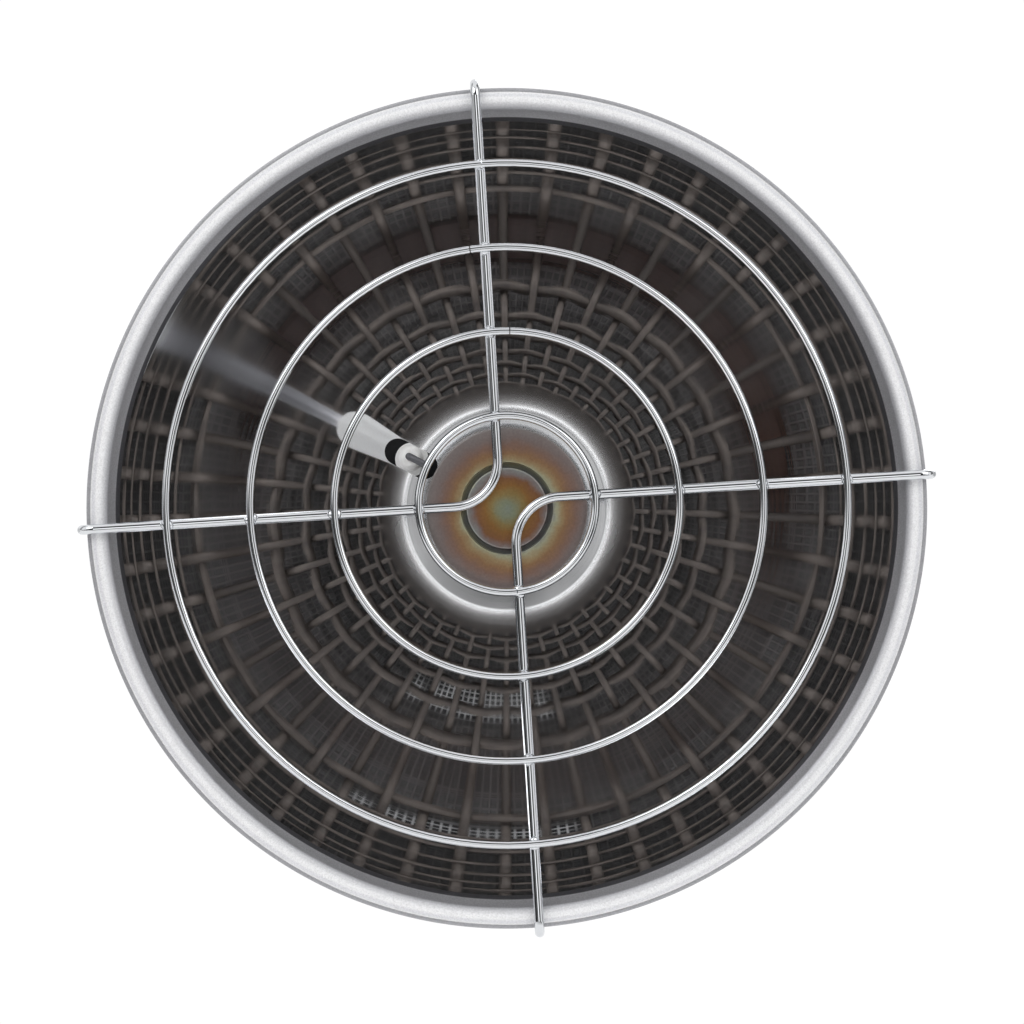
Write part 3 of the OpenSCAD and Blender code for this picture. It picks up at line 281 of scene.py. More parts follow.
SATIN_FROM, SATIN_TO = 107.0, 115.5   # the radii that the band's and the bead's colours run over


def satin_rim():
    """The band and the rolled bead. The forming rolls leave the band satin, with a sparkling grain
    that breaks up the reflection. Across band and bead the colour is painted light: the bead's
    crest and a line outside it are painted highlights, soft even white with little metal in them,
    and the crease inside the band and the edge beyond are painted shade, darker lines. The lip
    outside it is dull."""
    material, tree, shader = finish("satin_aluminium_with_painted_highlight")
    grain = noise(tree, place_of(tree), 0.4, 4.0, 0.8)
    across = span(tree, dish_radius(tree), SATIN_FROM, SATIN_TO, 0.0, 1.0)
    # painted light: the ramp's white crest and outer line are painted highlights, and its dark
    # crease and outer edge are painted shade
    rim_tone_and_painted_light = ramp(tree, across, [
        (0.06, "#6E6E72"), (0.08, "#E8E8EC"), (0.36, "#BCBCC0"), (0.54, "#FBFBFD"),
        (0.66, "#FEFEFF"), (0.74, "#E8E8EC"), (0.8, "#ECECF0"), (0.85, "#FFFFFF"),
        (0.88, "#B4B4B8")])
    feed(tree, shader, Base_Color=times(tree, rim_tone_and_painted_light, span(tree, grain, 0.35, 0.65, 0.8, 1.1)),
         Roughness=ramp(tree, across, [(0.0, 0.3), (0.28, 0.36), (0.45, 0.5)]),
         Metallic=ramp(tree, across, [(0.3, 0.9), (0.52, 0.1), (0.84, 0.1), (0.9, 0.6)]),
         Normal=relief(tree, grain, 0.045))
    return material


def spun_back():
    """The back of the dish, as it left the lathe: satin rings from the spinning roller."""
    material, tree, shader = finish("spun_aluminium_back", Metallic=1.0,
                                    Base_Color=linear("#D2D4D7"))
    cloud = noise(tree, place_of(tree), 24, 3.0)
    feed(tree, shader, Roughness=span(tree, cloud, 0.35, 0.7, 0.24, 0.36),
         Normal=relief(tree, rings(tree, dish_radius(tree), 1.6, 5.0, 0.65), 0.03))
    return material


def bright_chrome():
    """Bright nickel-chrome plate on drawn wire: a full mirror with the drawing's faint lines."""
    material, tree, shader = finish("chrome_plated_wire", Metallic=1.0,
                                    Base_Color=linear("#D8DADD"))
    cloud = noise(tree, place_of(tree), 3.0, 3.0)
    feed(tree, shader, Roughness=span(tree, cloud, 0.35, 0.75, 0.005, 0.025),
         Normal=relief(tree, noise(tree, place_of(tree), 1.4, 1.0), 0.002))
    return material


FILM_R = 23.0            # the radius at which the oxide's last band ends, mm
FILM_DRIFT = 16.0        # how far to the lower right or upper left its bands have moved fully, mm
PAINTED_GROOVE_FROM = 10.0      # the radius at which the groove's colours begin, mm
UNDER_FROM = 15.0        # and the one at which the underside's painted light begins, mm


def heat_tinted_cap():
    """Stainless steel coloured by its own heat: oxide bands of straw, brown and grey round the
    groove, as on a burner's cap after its first firings, with a mottle where the film is uneven.
    The groove's floor and the cap's outer edge are painted darker, as painted shade; the groove's
    inner edge has a thin painted highlight and its outer shoulder a fainter one; and the underside
    is painted lighter, as painted light against the shade under the cap."""
    material, tree, shader = finish("heat_tinted_stainless", Metallic=0.8)
    place, radius = place_of(tree), dish_radius(tree)
    away = maths(tree, "SUBTRACT", *across_dish(tree))
    drift = span(tree, away, -FILM_DRIFT * MM, FILM_DRIFT * MM, 0.8, -0.8)
    wander = span(tree, noise(tree, place, 5.0, 4.0, 0.62), 0.2, 0.8, -1.2, 1.2)
    film = maths(tree, "ADD", radius, maths(tree, "ADD", wander, drift))
    tint = ramp(tree, span(tree, film, 0.0, FILM_R, 0.0, 1.0), [
        (0.00, "#858D80"), (0.10, "#858A72"), (0.19, "#8D7B50"), (0.28, "#8C663A"),
        (0.37, "#835C41"), (0.44, "#847A78"), (0.50, "#8F918E"), (0.56, "#A9A88E"),
        (0.62, "#A28D6A"), (0.69, "#937254"), (0.78, "#866B5E"), (0.88, "#807370"),
        (1.00, "#857F7D")])
    # painted light and shade across the groove: bright lines at its shoulders are painted
    # highlights, and its dark floor and the dark outer edge are painted shade
    cap_painted_light_and_shade = ramp(tree, span(tree, radius, PAINTED_GROOVE_FROM, FILM_R, 0.0, 1.0), [
        (0.055, 1.0), (0.07, 1.45), (0.085, 1.45), (0.1, 0.3), (0.185, 0.27), (0.205, 1.12),
        (0.24, 1.0), (0.925, 1.0), (0.94, 0.5)])
    # painted light: the underside beyond UNDER_FROM is made lighter against the shade under the cap
    below = span(tree, dish_height(tree), CAP_TOP - 0.5, CAP_TOP - CAP_T, 0.0, 1.9)
    outside = span(tree, radius, UNDER_FROM, UNDER_FROM + 1.0, 0.0, 1.0)
    painted_bright = maths(tree, "MULTIPLY", below, outside)
    mottle = noise(tree, place, 0.7, 3.0, 0.7)
    # the oxide tint multiplied by the painted light and shade
    face_look = times(tree, tint, maths(tree, "ADD", cap_painted_light_and_shade, painted_bright))
    feed(tree, shader, Base_Color=times(tree, face_look, span(tree, mottle, 0.3, 0.7, 0.84, 1.1)),
         Roughness=span(tree, mottle, 0.3, 0.7, 0.34, 0.46),
         Normal=relief(tree, noise(tree, place, 0.25, 3.0, 0.6), 0.008))
    return material


def oxidised_wire():
    """Heat-resisting alloy wire after firing: a brown-grey oxide skin, half dull."""
    material, tree, shader = finish("oxidised_alloy_wire", Metallic=0.35)
    scale = noise(tree, place_of(tree), 1.6, 4.0, 0.65)
    brown = ramp(tree, scale, [(0.3, "#66605C"), (0.55, "#7A716B"), (0.75, "#88807A")])
    feed(tree, shader, Base_Color=brown, Roughness=span(tree, scale, 0.3, 0.7, 0.5, 0.68),
         Normal=relief(tree, noise(tree, place_of(tree), 0.12, 3.0), 0.01))
    return material


GAUZE_ROUND, GAUZE_PITCH = 220, 0.55         # the gauze's cells round the burner, and their height
GLINT_TURN, GLINT_WIDE = -97.5, 24.0         # the painted highlight's patch: its middle and half width, degrees
GLINT_LOW, GLINT_HIGH = 39.3, 43.3           # and its foot and top, mm
PALE_FROM, PALE_FULL = 41.0, 45.5            # where painted light begins to make the gauze less black, and where it is full


def painted_glint_patch(tree):
    """1 in the painted highlight's patch near the gauze's top, with a torn edge, and 0 elsewhere.
    """
    height = dish_height(tree)
    beside = span(tree, turn_from(tree, GLINT_TURN), GLINT_WIDE, GLINT_WIDE - 5, 0.0, 1.0)
    above = span(tree, height, GLINT_LOW, GLINT_LOW + 1.0, 0.0, 1.0)
    below = span(tree, height, GLINT_HIGH, GLINT_HIGH - 0.5, 0.0, 1.0)
    patchy = span(tree, noise(tree, place_of(tree), 3.0, 2.0), 0.38, 0.5, 0.15, 1.0)
    inside = maths(tree, "MULTIPLY", beside, maths(tree, "MULTIPLY", above, below))
    return maths(tree, "MULTIPLY", inside, patchy)


def flame_gauze():
    """The fine gauze under the coarse screen, blackened by the flame. Its mesh is drawn as dots:
    the height and the angle round the burner are cut into cells, dark in the middle and paler on
    the wires between. Near the top it is painted less black, as painted light against the shade
    under the cap, and a patch there carries a painted highlight of near-white dots."""
    material, tree, shader = finish("fired_fine_gauze", Metallic=0.4, Roughness=0.55)
    right, up = across_dish(tree)
    _, y, _ = axes(tree)
    angle = maths(tree, "ARCTAN2", up, right)
    cells = []
    for value, count in ((angle, GAUZE_ROUND), (y, TAU / (GAUZE_PITCH * MM))):
        cells.append(maths(tree, "COSINE", maths(tree, "MULTIPLY", value, count)))
    wire = span(tree, maths(tree, "MAXIMUM", *cells), 0.2, 0.9, 0.0, 1.0)
    cloud = noise(tree, place_of(tree), 5.0, 3.0, 0.6)
    # painted light: the gauze is made lighter towards its top, where the cap shades it
    top_painted_light = span(tree, dish_height(tree), PALE_FROM, PALE_FULL, 1.0, 3.4)
    mottle_and_painted_light = maths(tree, "MULTIPLY", span(tree, cloud, 0.3, 0.7, 0.85, 1.15), top_painted_light)
    soot_and_painted_light = times(tree, ramp(tree, wire, [(0.0, "#4C4B4B"), (1.0, "#5A5857")]), mottle_and_painted_light)
    # painted highlight: near-white dots where the glint patch is
    painted_bright = ramp(tree, wire, [(0.2, "#3A3A3A"), (0.8, "#F4F4F4")])
    feed(tree, shader, Base_Color=blend(tree, painted_glint_patch(tree), soot_and_painted_light, painted_bright),
         Normal=relief(tree, wire, 0.08))
    return material


def pressed_steel(name, code, rough_low, rough_high):
    """Pressed stainless or plated sheet: an even colour with a fine rolled grain."""
    material, tree, shader = finish(name, Metallic=1.0, Base_Color=linear(code))
    place = place_of(tree)
    grain = noise(tree, place, 1.2, 4.0, 0.6)
    feed(tree, shader, Roughness=span(tree, grain, 0.3, 0.7, rough_low, rough_high),
         Normal=relief(tree, noise(tree, place, 0.3, 3.0), 0.012))
    return material


def white_ceramic():
    """Unglazed steatite: chalk white, faintly speckled, with a dull sheen."""
    material, tree, shader = finish("steatite_ceramic", IOR=1.55)
    speck = noise(tree, place_of(tree), 0.5, 3.0, 0.6)
    feed(tree, shader, Base_Color=ramp(tree, speck, [(0.3, "#F8F7F4"), (0.6, "#FEFEFD")]),
         Roughness=span(tree, speck, 0.3, 0.7, 0.35, 0.5), Normal=relief(tree, speck, 0.01))
    return material


CERAMIC_END, SPARK_END = 28.0, 41.0          # the electrode's two ends in front of the flat, mm


def electrode_alloy():
    """Drawn heat-resisting wire: bright where the ceramic has shielded it, and greyer to the
    spark's end."""
    material, tree, shader = finish("drawn_heat_resisting_wire", Metallic=0.6)
    out = span(tree, dish_height(tree), CERAMIC_END, SPARK_END, 0.0, 1.0)
    grey = ramp(tree, out, [(0.0, "#E6E6EA"), (0.25, "#A4A4A8"), (0.6, "#7E7E82"),
                            (1.0, "#6C6C70")])
    dull = noise(tree, place_of(tree), 0.4, 3.0)
    feed(tree, shader, Base_Color=grey, Roughness=span(tree, dull, 0.3, 0.7, 0.4, 0.55),
         Normal=relief(tree, noise(tree, place_of(tree), 0.2, 2.0), 0.006))
    return material


def moulded_plastic(name, code, rough_low, rough_high):
    """Injection-moulded plastic with the fine spark texture of its tool."""
    material, tree, shader = finish(name, IOR=1.49, Base_Color=linear(code))
    spark = noise(tree, place_of(tree), 0.35, 3.0, 0.6)
    feed(tree, shader, Roughness=span(tree, spark, 0.3, 0.7, rough_low, rough_high),
         Normal=relief(tree, spark, 0.02))
    return material


def rubber(name, code):
    """Moulded rubber: matt, with a soft uneven sheen."""
    material, tree, shader = finish(name, IOR=1.5, Base_Color=linear(code))
    cloud = noise(tree, place_of(tree), 1.0, 3.0, 0.6)
    feed(tree, shader, Roughness=span(tree, cloud, 0.3, 0.7, 0.5, 0.7),
         Normal=relief(tree, cloud, 0.015))
    return material


def brass(name, code, rough_low, rough_high, grain_mm, depth_mm):
    """Brass, machined or forged: the grain is turning marks or the tumbled skin of the forging,
    and brown tarnish lies in clouds."""
    material, tree, shader = finish(name, Metallic=1.0)
    place = place_of(tree)
    cloud = noise(tree, place, 7.0, 3.0, 0.55)
    grain = noise(tree, place, grain_mm, 3.0, 0.6)
    tarnish = span(tree, cloud, 0.4, 0.75, 0.0, 0.55)
    feed(tree, shader, Base_Color=blend(tree, tarnish, linear(code), linear("#8F7443")),
         Roughness=span(tree, grain, 0.3, 0.7, rough_low, rough_high),
         Normal=relief(tree, grain, depth_mm))
    return material


def die_cast():
    """Die-cast zinc, clear passivated: a grey metal skin with the flow marks and pores of the
    casting."""
    material, tree, shader = finish("die_cast_zinc", Metallic=1.0)
    place = place_of(tree)
    flow = noise(tree, place, 9.0, 4.0, 0.55)
    pores = noise(tree, place, 0.5, 4.0, 0.7)
    feed(tree, shader, Base_Color=ramp(tree, flow, [(0.35, "#9FA2A5"), (0.7, "#B4B7BA")]),
         Roughness=span(tree, pores, 0.3, 0.7, 0.38, 0.55), Normal=relief(tree, pores, 0.04))
    return material


def fibre():
    """Vulcanised fibre washer: red-brown, matt."""
    material, tree, shader = finish("vulcanised_fibre", IOR=1.5)
    speck = noise(tree, place_of(tree), 0.6, 4.0, 0.7)
    feed(tree, shader, Base_Color=ramp(tree, speck, [(0.3, "#6B2E1E"), (0.7, "#83402B")]),
         Roughness=span(tree, speck, 0.3, 0.7, 0.6, 0.8))
    return material


def dress(material, *names):
    """Gives CAD nodes their material."""
    for name in names:
        for held in nodes[name].material_slots:
            held.material = material


# ---------------------------------------------------------------- the dish, in mm and degrees

CURVE_R = 127.8          # the bowl's radius of curvature at its centre
CONIC = 0.04             # its conic constant
FLARE = 3.2              # how far it flares below the conic 100 mm from the axis
EDGE_R = 107.2           # its edge, inside the satin band
FLAT_R = 28.2            # the flat bottom
FLAT_ROWS = (8.1, 14.0, 20.0, 25.0)      # its rows, from the mixing tube's bore outwards
BEND_R = 20.0            # the bend between the flat and the bowl
SHEET = 0.8              # the sheet
BAND_W = 2.2             # the satin band, which keeps the bowl's slope
CREASE_IN, CREASE_W = 0.6, 0.4    # the crease between mirror and band, inside and outside the edge
BEAD_R = 2.9             # the rolled bead
BEAD_FALL = 65.0         # how far round the bead turns before the lip
LIP_W = 1.0              # the lip outside it
LIP_IN, LIP_DOWN = 0.2, 0.15      # its broken edge
SLOT_IN, SLOT_OUT, SLOT_W = 22.8, 38.9, 7.6         # the electrode's slot: its ends and its width
ELECTRODE_TURN = 152.0   # the electrode's direction round the axis
SAG_FROM, SAG_WIDE, SAG_RATE = 60.0, 35.0, 0.021    # where buffing takes metal off, and how fast
EDGE_ROW = 0.08          # the mirror's last row, narrow so that the crease doesn't turn the mirror
SHARP = 40.0             # edges sharper than this stay sharp
TURN_STEPS = 360         # how many steps the dish has round its axis


def conic(r):
    """Height and slope angle of the bowl's curve at radius r: the height is r^2 / (R (1 + root))
    less flare (r / 100)^4, with root = sqrt(1 - (1 + k) r^2 / R^2), and the slope is r / (R root)
    less 4 flare / 100 (r / 100)^3."""
    root, part = np.sqrt(1 - (1 + CONIC) * (r / CURVE_R) ** 2), r / 100
    return (r * r / (CURVE_R * (1 + root)) - FLARE * part ** 4,
            np.arctan(r / (CURVE_R * root) - 0.04 * FLARE * part ** 3))


def sag(r):
    """How far the buffed face lies behind the conic: the integral of a slope that grows as t^1.3,
    with t = (r - from) / wide, and stops short at t = 1 as 1 - t^12. It is what keeps the screen's
    top hoop out of the wide middle of the mirror's picture."""
    t = np.clip((r - SAG_FROM) / SAG_WIDE, 0, 1)
    return SAG_RATE * SAG_WIDE * (t ** 2.3 / 2.3 - t ** 14.3 / 14.3)


def bowl_start():
    """Where the bend from the flat bottom meets the conic at the conic's own slope."""
    r = FLAT_R
    for _ in range(12):
        r = FLAT_R + BEND_R * np.sin(conic(r)[1])
    return r


BOWL_START = bowl_start()
BOWL_DROP = conic(BOWL_START)[0] - BEND_R * (1 - np.cos(conic(BOWL_START)[1]))
EDGE_SLOPE = conic(EDGE_R)[1]
EDGE_Z = conic(EDGE_R)[0] - BOWL_DROP
CREST = EDGE_Z + BAND_W * np.tan(EDGE_SLOPE) + BEAD_R * (1 - np.cos(EDGE_SLOPE))


def dish_front(bend, bowl, bead, buffed=0.0):
    """The mirror's profile as rows of (radius, height, slope): the flat bottom, the bend, the conic
    less what buffing takes, a crease, the straight band that goes on at the bowl's slope, and the
    bead, an arc from that slope to a steep fall. bend, bowl and bead are how many rows they get."""
    a = np.linspace(0, conic(BOWL_START)[1], bend)
    r = np.linspace(BOWL_START, EDGE_R - CREASE_IN * buffed, bowl + 1)[1:]
    if buffed:
        r[-2] = r[-1] - EDGE_ROW
    b = np.linspace(EDGE_SLOPE, -np.radians(BEAD_FALL), bead + 1)
    bead_r = EDGE_R + BAND_W + BEAD_R * np.sin(EDGE_SLOPE)
    bead_z = EDGE_Z + BAND_W * np.tan(EDGE_SLOPE) - BEAD_R * np.cos(EDGE_SLOPE)
    return np.concatenate([
        [[flat_r, 0, 0] for flat_r in FLAT_ROWS],
        np.stack([FLAT_R + BEND_R * np.sin(a), BEND_R * (1 - np.cos(a)), a], axis=1),
        np.stack([r, conic(r)[0] - BOWL_DROP - buffed * sag(r), conic(r)[1]], axis=1),
        [[EDGE_R + CREASE_W, EDGE_Z + CREASE_W * np.tan(EDGE_SLOPE), EDGE_SLOPE]],
        np.stack([bead_r - BEAD_R * np.sin(b), bead_z + BEAD_R * np.cos(b), b], axis=1)])


def dish_profile():
    """The front, the lip, and the back a sheet's thickness behind the front."""
    front = dish_front(20, 110, 34, buffed=1.0)
    back = dish_front(10, 30, 18)[::-1]
    rim_r, rim_z = front[-1][:2]
    lip = [[rim_r + LIP_W - LIP_IN, rim_z], [rim_r + LIP_W, rim_z - LIP_DOWN],
           [rim_r + LIP_W, rim_z - SHEET + LIP_DOWN], [rim_r + LIP_W - LIP_IN, rim_z - SHEET]]
    behind = back[1:, :2] + SHEET * np.stack([np.sin(back[1:, 2]), -np.cos(back[1:, 2])], axis=1)
    return np.concatenate([front[:, :2], lip, behind])


def slot_cutter():
    """A prism over the slot's outline, a rounded rectangle that runs out along the electrode's
    direction."""
    half = SLOT_W / 2
    t = np.linspace(-np.pi / 2, np.pi / 2, 25)
    outer = np.stack([SLOT_OUT - half + half * np.cos(t), half * np.sin(t)], axis=1)
    inner = np.stack([SLOT_IN + half - half * np.cos(t), -half * np.sin(t)], axis=1)
    c, s = np.cos(np.radians(ELECTRODE_TURN)), np.sin(np.radians(ELECTRODE_TURN))
    outline = np.concatenate([outer, inner]) @ np.array([[c, s], [-s, c]])
    count = len(outline)
    deep = (-5.0, 20.0)         # from well behind the sheet to well in front of it
    points = np.concatenate([np.column_stack([outline, np.full(count, h)]) for h in deep])
    wall = [tuple(f) for f in grid_faces(2, count, ring_cols=True)]
    return surface("slot_cutter", on_dish(points),
                   wall + [tuple(range(count)), tuple(range(count, 2 * count))])


def finish_faces(mesh):
    """Which finish a face has, from its place: the crease, band, bead and lip are satin, what faces
    back or into the bead is spun, and the rest is polished."""
    polished, satin, spun = 0, 1, 2
    middle, facing = np.empty(len(mesh.polygons) * 3), np.empty(len(mesh.polygons) * 3)
    mesh.polygons.foreach_get("center", middle)
    mesh.polygons.foreach_get("normal", facing)
    middle, facing = middle.reshape(-1, 3), facing.reshape(-1, 3)
    right, up, back = middle[:, 0], middle[:, 2] - AXIS_H * MM, facing[:, 1]
    radius = np.hypot(right, up)
    outward = (facing[:, 0] * right + facing[:, 2] * up) / radius
    rim = (radius > (EDGE_R - CREASE_IN) * MM) & (back < 0.3)       # and round the bead a little
    in_bead = (radius > EDGE_R * MM) & (back > 0.05) & (outward < 0.35)
    face_look = np.where(back > 0.0, spun, polished)
    face_look = np.where(in_bead, spun, np.where(rim, satin, face_look))
    mesh.polygons.foreach_set("material_index", face_look.astype(np.int32))


def mirror_dish():
    """The dish: its profile turned about the axis, with the electrode's slot cut through."""
    dish = turned("mirror_dish", dish_profile(), TURN_STEPS, SHARP)
    cutter = slot_cutter()
    cut = dish.modifiers.new("slot", "BOOLEAN")
    cut.object, cut.operation, cut.solver = cutter, "DIFFERENCE", "EXACT"
    ready = dish.evaluated_get(bpy.context.evaluated_depsgraph_get())
    shaped = bpy.data.meshes.new_from_object(ready)
    dish.modifiers.clear()
    dish.data = shaped
    bpy.data.objects.remove(cutter)
    shaped.shade_smooth()
    shaped.set_sharp_from_angle(angle=np.radians(SHARP))
    shaped.materials.clear()
    for made in (polished_aluminium(), satin_rim(), spun_back()):
        shaped.materials.append(made)
    finish_faces(shaped)
    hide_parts("reflector")
    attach(dish, "head")


# ---------------------------------------------------------------- the burner, in mm

WEAVE_R, WEAVE_D, WIRES = 20.6, 0.7, 48      # the screen, its wires and how many stand upright
HOOPS, HOOP_LOW, HOOP_PITCH = 16, 3.35, 2.7  # how many hoops, the lowest one and their pitch
HOOP_WAVE = 0.16                             # how far a hoop waves in and out
UPRIGHT_WAVE = WEAVE_D + 0.01 - HOOP_WAVE    # and an upright, so that the two just touch
WIRE_LOW, WIRE_HIGH = 1.05, 46.15            # the uprights' ends
WIRE_SIDES, UPRIGHT_ROWS = 8, 136            # a wire's sides, and an upright's rows
HOOP_ROWS = 4 * WIRES                        # and a hoop's


def woven_screen():
    """The screen that glows, in plain weave. An upright wire's distance from the axis is the
    screen's radius plus a cosine wave that takes it outside one hoop and inside the next. A hoop's
    is a smaller wave the other way about, so that the two touch where they cross."""
    points, faces, first = [], [], 0
    h = np.linspace(WIRE_LOW, WIRE_HIGH, UPRIGHT_ROWS)
    for i in range(WIRES):
        r = WEAVE_R + UPRIGHT_WAVE * np.cos(np.pi * ((h - HOOP_LOW) / HOOP_PITCH + i))
        c, s = np.cos(i * TAU / WIRES), np.sin(i * TAU / WIRES)
        path = np.stack([r * c, r * s, h], axis=1)
        points.append(tube_points(path, WEAVE_D / 2, WIRE_SIDES, (-s, c, 0)).reshape(-1, 3))
        faces += tube_faces(len(path), WIRE_SIDES, False, first)
        first += len(path) * WIRE_SIDES
    t = np.arange(HOOP_ROWS) * TAU / HOOP_ROWS
    for j in range(HOOPS):
        r = WEAVE_R - HOOP_WAVE * np.cos(np.pi * (t * WIRES / TAU + j))
        path = np.stack([r * np.cos(t), r * np.sin(t), HOOP_LOW + j * HOOP_PITCH + 0 * t], axis=1)
        ring = np.concatenate([path[-1:], path, path[:1]])
        tube = tube_points(ring, WEAVE_D / 2, WIRE_SIDES, (0, 0, 1))[1:-1]
        points.append(tube.reshape(-1, 3))
        faces += tube_faces(len(path), WIRE_SIDES, True, first)
        first += len(path) * WIRE_SIDES
    screen = surface("woven_screen", on_dish(np.concatenate(points)), faces, sharp=60.0)
    screen.data.materials.append(oxidised_wire())
    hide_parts("radiant_screen")
    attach(screen, "head")


CAP_TOP, CAP_R, CAP_T = 47.0, 22.25, 0.8     # the cap's face, its radius and its sheet
CAP_EDGE, CAP_FLANGE, FLANGE_T = 0.5, 1.0, 0.5    # its edge's round, its flange's depth and wall
GROOVE_R, GROOVE_W, GROOVE_DEPTH = 11.95, 1.5, 1.2
GROOVE_DRAFT, GROOVE_ROUND = 0.15, 0.22      # the slant of its sides, and its shoulders' radius


def stamped_cap():
    """The burner's cap, turned from its profile: a flat face, a groove whose shoulders are quarter
    rounds, and a shallow flange round the edge, with the sheet's thickness behind."""
    q = np.linspace(0, np.pi / 2, 7)
    inner, outer = GROOVE_R - GROOVE_W / 2, GROOVE_R + GROOVE_W / 2
    wall, floor, back = 0.7 * CAP_T, CAP_TOP - GROOVE_DEPTH, CAP_TOP - CAP_T
    rise, run = 1 - np.cos(q), 1 - np.sin(q)
    edge = np.stack([CAP_R - CAP_EDGE * rise, CAP_TOP - CAP_EDGE * run], axis=1)
    round_out = np.stack([outer + GROOVE_ROUND * run, CAP_TOP - GROOVE_ROUND * rise], axis=1)
    round_in = (round_out * [-1, 1] + [2 * GROOVE_R, 0])[::-1]
    behind = [[0, back], [inner - wall, back], [inner - wall, floor - CAP_T],
              [outer + wall, floor - CAP_T], [outer + wall, back], [CAP_R - FLANGE_T, back],
              [CAP_R - FLANGE_T, CAP_TOP - CAP_FLANGE], [CAP_R, CAP_TOP - CAP_FLANGE]]
    groove = [[outer - GROOVE_DRAFT, floor], [inner + GROOVE_DRAFT, floor]]
    profile = np.concatenate([behind, edge, round_out, groove, round_in, [[0, CAP_TOP]]])
    cap = turned("stamped_burner_cap", profile, 192, sharp=35.0)
    cap.data.materials.append(heat_tinted_cap())
    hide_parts("burner_cap")
    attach(cap, "head")


# ---------------------------------------------------------------- the guard and the lead, in mm

SPOKE_D = 2.7
SPOKE_Z = CREST + 0.05 + SPOKE_D / 2         # the spokes lie on the bead's crest
RING_RADII = (24.2, 47.2, 70.2, 93.2)
GUARD_ROLL, GUARD_LIFT = np.radians(3.5), 1.1     # how far it is turned and lifted on the dish
SPOKE_STEP, SPOKE_RISE = 1.8, 1.1            # how far the arms miss the guard's middle
NUGGET_R, NUGGET_H = 1.75, 1.25              # a weld nugget's half width and half height
NUGGET_Z = SPOKE_D / 2 + 0.1                 # and its middle over the spoke's


def on_guard(points):
    """Points of the guard's own frame, which is lifted and turned on the dish, in the part's."""
    p = np.asarray(points, float)
    x, y, z = p[..., 0], p[..., 1], p[..., 2]
    c, s = np.cos(GUARD_ROLL), np.sin(GUARD_ROLL)
    return on_dish(np.stack([x * c - y * s, x * s + y * c, z], axis=-1) + [0, GUARD_LIFT, SPOKE_Z])


def weld_nuggets(material):
    """The squashed lumps where each ring is spot-welded to each arm: a ball pressed flat between
    the wires, whose radius wanders by a tenth with the angle and the height."""
    rows, cols = 10, 20
    tilt = np.linspace(0, np.pi, rows + 2)[1:-1][:, None]
    t = np.arange(cols) * TAU / cols
    draw = np.random.default_rng(7)
    points, faces, first = [], [], 0
    for ring in RING_RADII:
        along = np.sqrt(ring ** 2 - np.array([0.0, SPOKE_STEP, SPOKE_RISE, SPOKE_STEP]) ** 2)
        for x, y in ((-along[0], 0.0), (-SPOKE_STEP, along[1]), (along[2], SPOKE_RISE),
                     (SPOKE_STEP, -along[3])):
            a, b, c = draw.uniform(0, TAU, 3)
            size = (1 + 0.1 * np.sin(2 * t + a) * np.sin(tilt) + 0.07 * np.sin(3 * t + b + 2 * tilt)
                    + 0.05 * np.cos(3 * tilt + c))
            wide = NUGGET_R * size * np.sin(tilt)
            ball = np.stack([wide * np.cos(t), wide * np.sin(t), NUGGET_H * size * np.cos(tilt)],
                            axis=-1).reshape(-1, 3)
            ends = [[0, 0, NUGGET_H], [0, 0, -NUGGET_H]]
            points.append(np.concatenate([ball, ends]) + [x, y, NUGGET_Z])
            faces += [tuple(f) for f in grid_faces(rows, cols, ring_cols=True, first=first)]
            top, low = first + rows * cols, first + rows * cols + 1
            last = first + (rows - 1) * cols
            faces += [(top, first + k, first + (k + 1) % cols) for k in range(cols)]
            faces += [(low, last + (k + 1) % cols, last + k) for k in range(cols)]
            first += rows * cols + 2
    nuggets = surface("guard_weld_nuggets", on_guard(np.concatenate(points)), faces, sharp=80.0)
    nuggets.data.materials.append(material)
    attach(nuggets, "head")


ELECTRODE_R = 30.75
LEAD_R, LEAD_SIDES = 1.4, 20


def lead_route():
    """The lead's line in the dish's frame: a cubic curve
    p0 (1-t)^3 + 3 p1 t (1-t)^2 + 3 p2 t^2 (1-t) + p3 t^3
    from the igniter's side terminal to the back of the electrode, with a straight end in each
    boot."""
    turn = np.radians(ELECTRODE_TURN)
    start = np.array([-33.0, 10.0, -28.0])
    end = np.array([ELECTRODE_R * np.cos(turn), ELECTRODE_R * np.sin(turn), -25.05])
    grip, pull = 3.0, 10.0
    t = np.linspace(0, 1, 33)[:, None]
    p1, p2 = start + [0, pull, 0], end - [0, 0, pull]
    curve = (start * (1 - t) ** 3 + 3 * p1 * t * (1 - t) ** 2 + 3 * p2 * t * t * (1 - t)
             + end * t ** 3)
    return np.concatenate([[start - [0, grip, 0]], curve, [end + [0, 0, grip]]])


def silicone_lead():
    """The high-voltage lead, one smooth tube between its boots."""
    route = lead_route()
    points = on_dish(tube_points(route, LEAD_R, LEAD_SIDES, (1, 0, 0))).reshape(-1, 3)
    faces = tube_faces(len(route), LEAD_SIDES, False)
    lead = surface("silicone_lead", points, faces, sharp=60.0)
    lead.data.materials.append(rubber("red_silicone", "#8E1F16"))
    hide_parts("ignition_lead")
    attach(lead, "head")


# ---------------------------------------------------------------- the studio

# How bright the room is, by the angle from straight in front of the dish, in degrees.
ROOM = [
    (0.0, 0.2), (0.8, 0.28), (1.2, 0.4), (2.0, 0.7), (2.8, 1.0), (3.8, 1.35), (6, 1.75),
    (8.5, 1.65), (10.5, 0.8), (13, 0.05), (20, 0.05), (29, 0.1), (38, 0.35), (46, 0.78),
    (60, 1.05), (85, 1.05), (97, 1.0), (108, 1.0), (118, 1.02), (180, 1.02)]

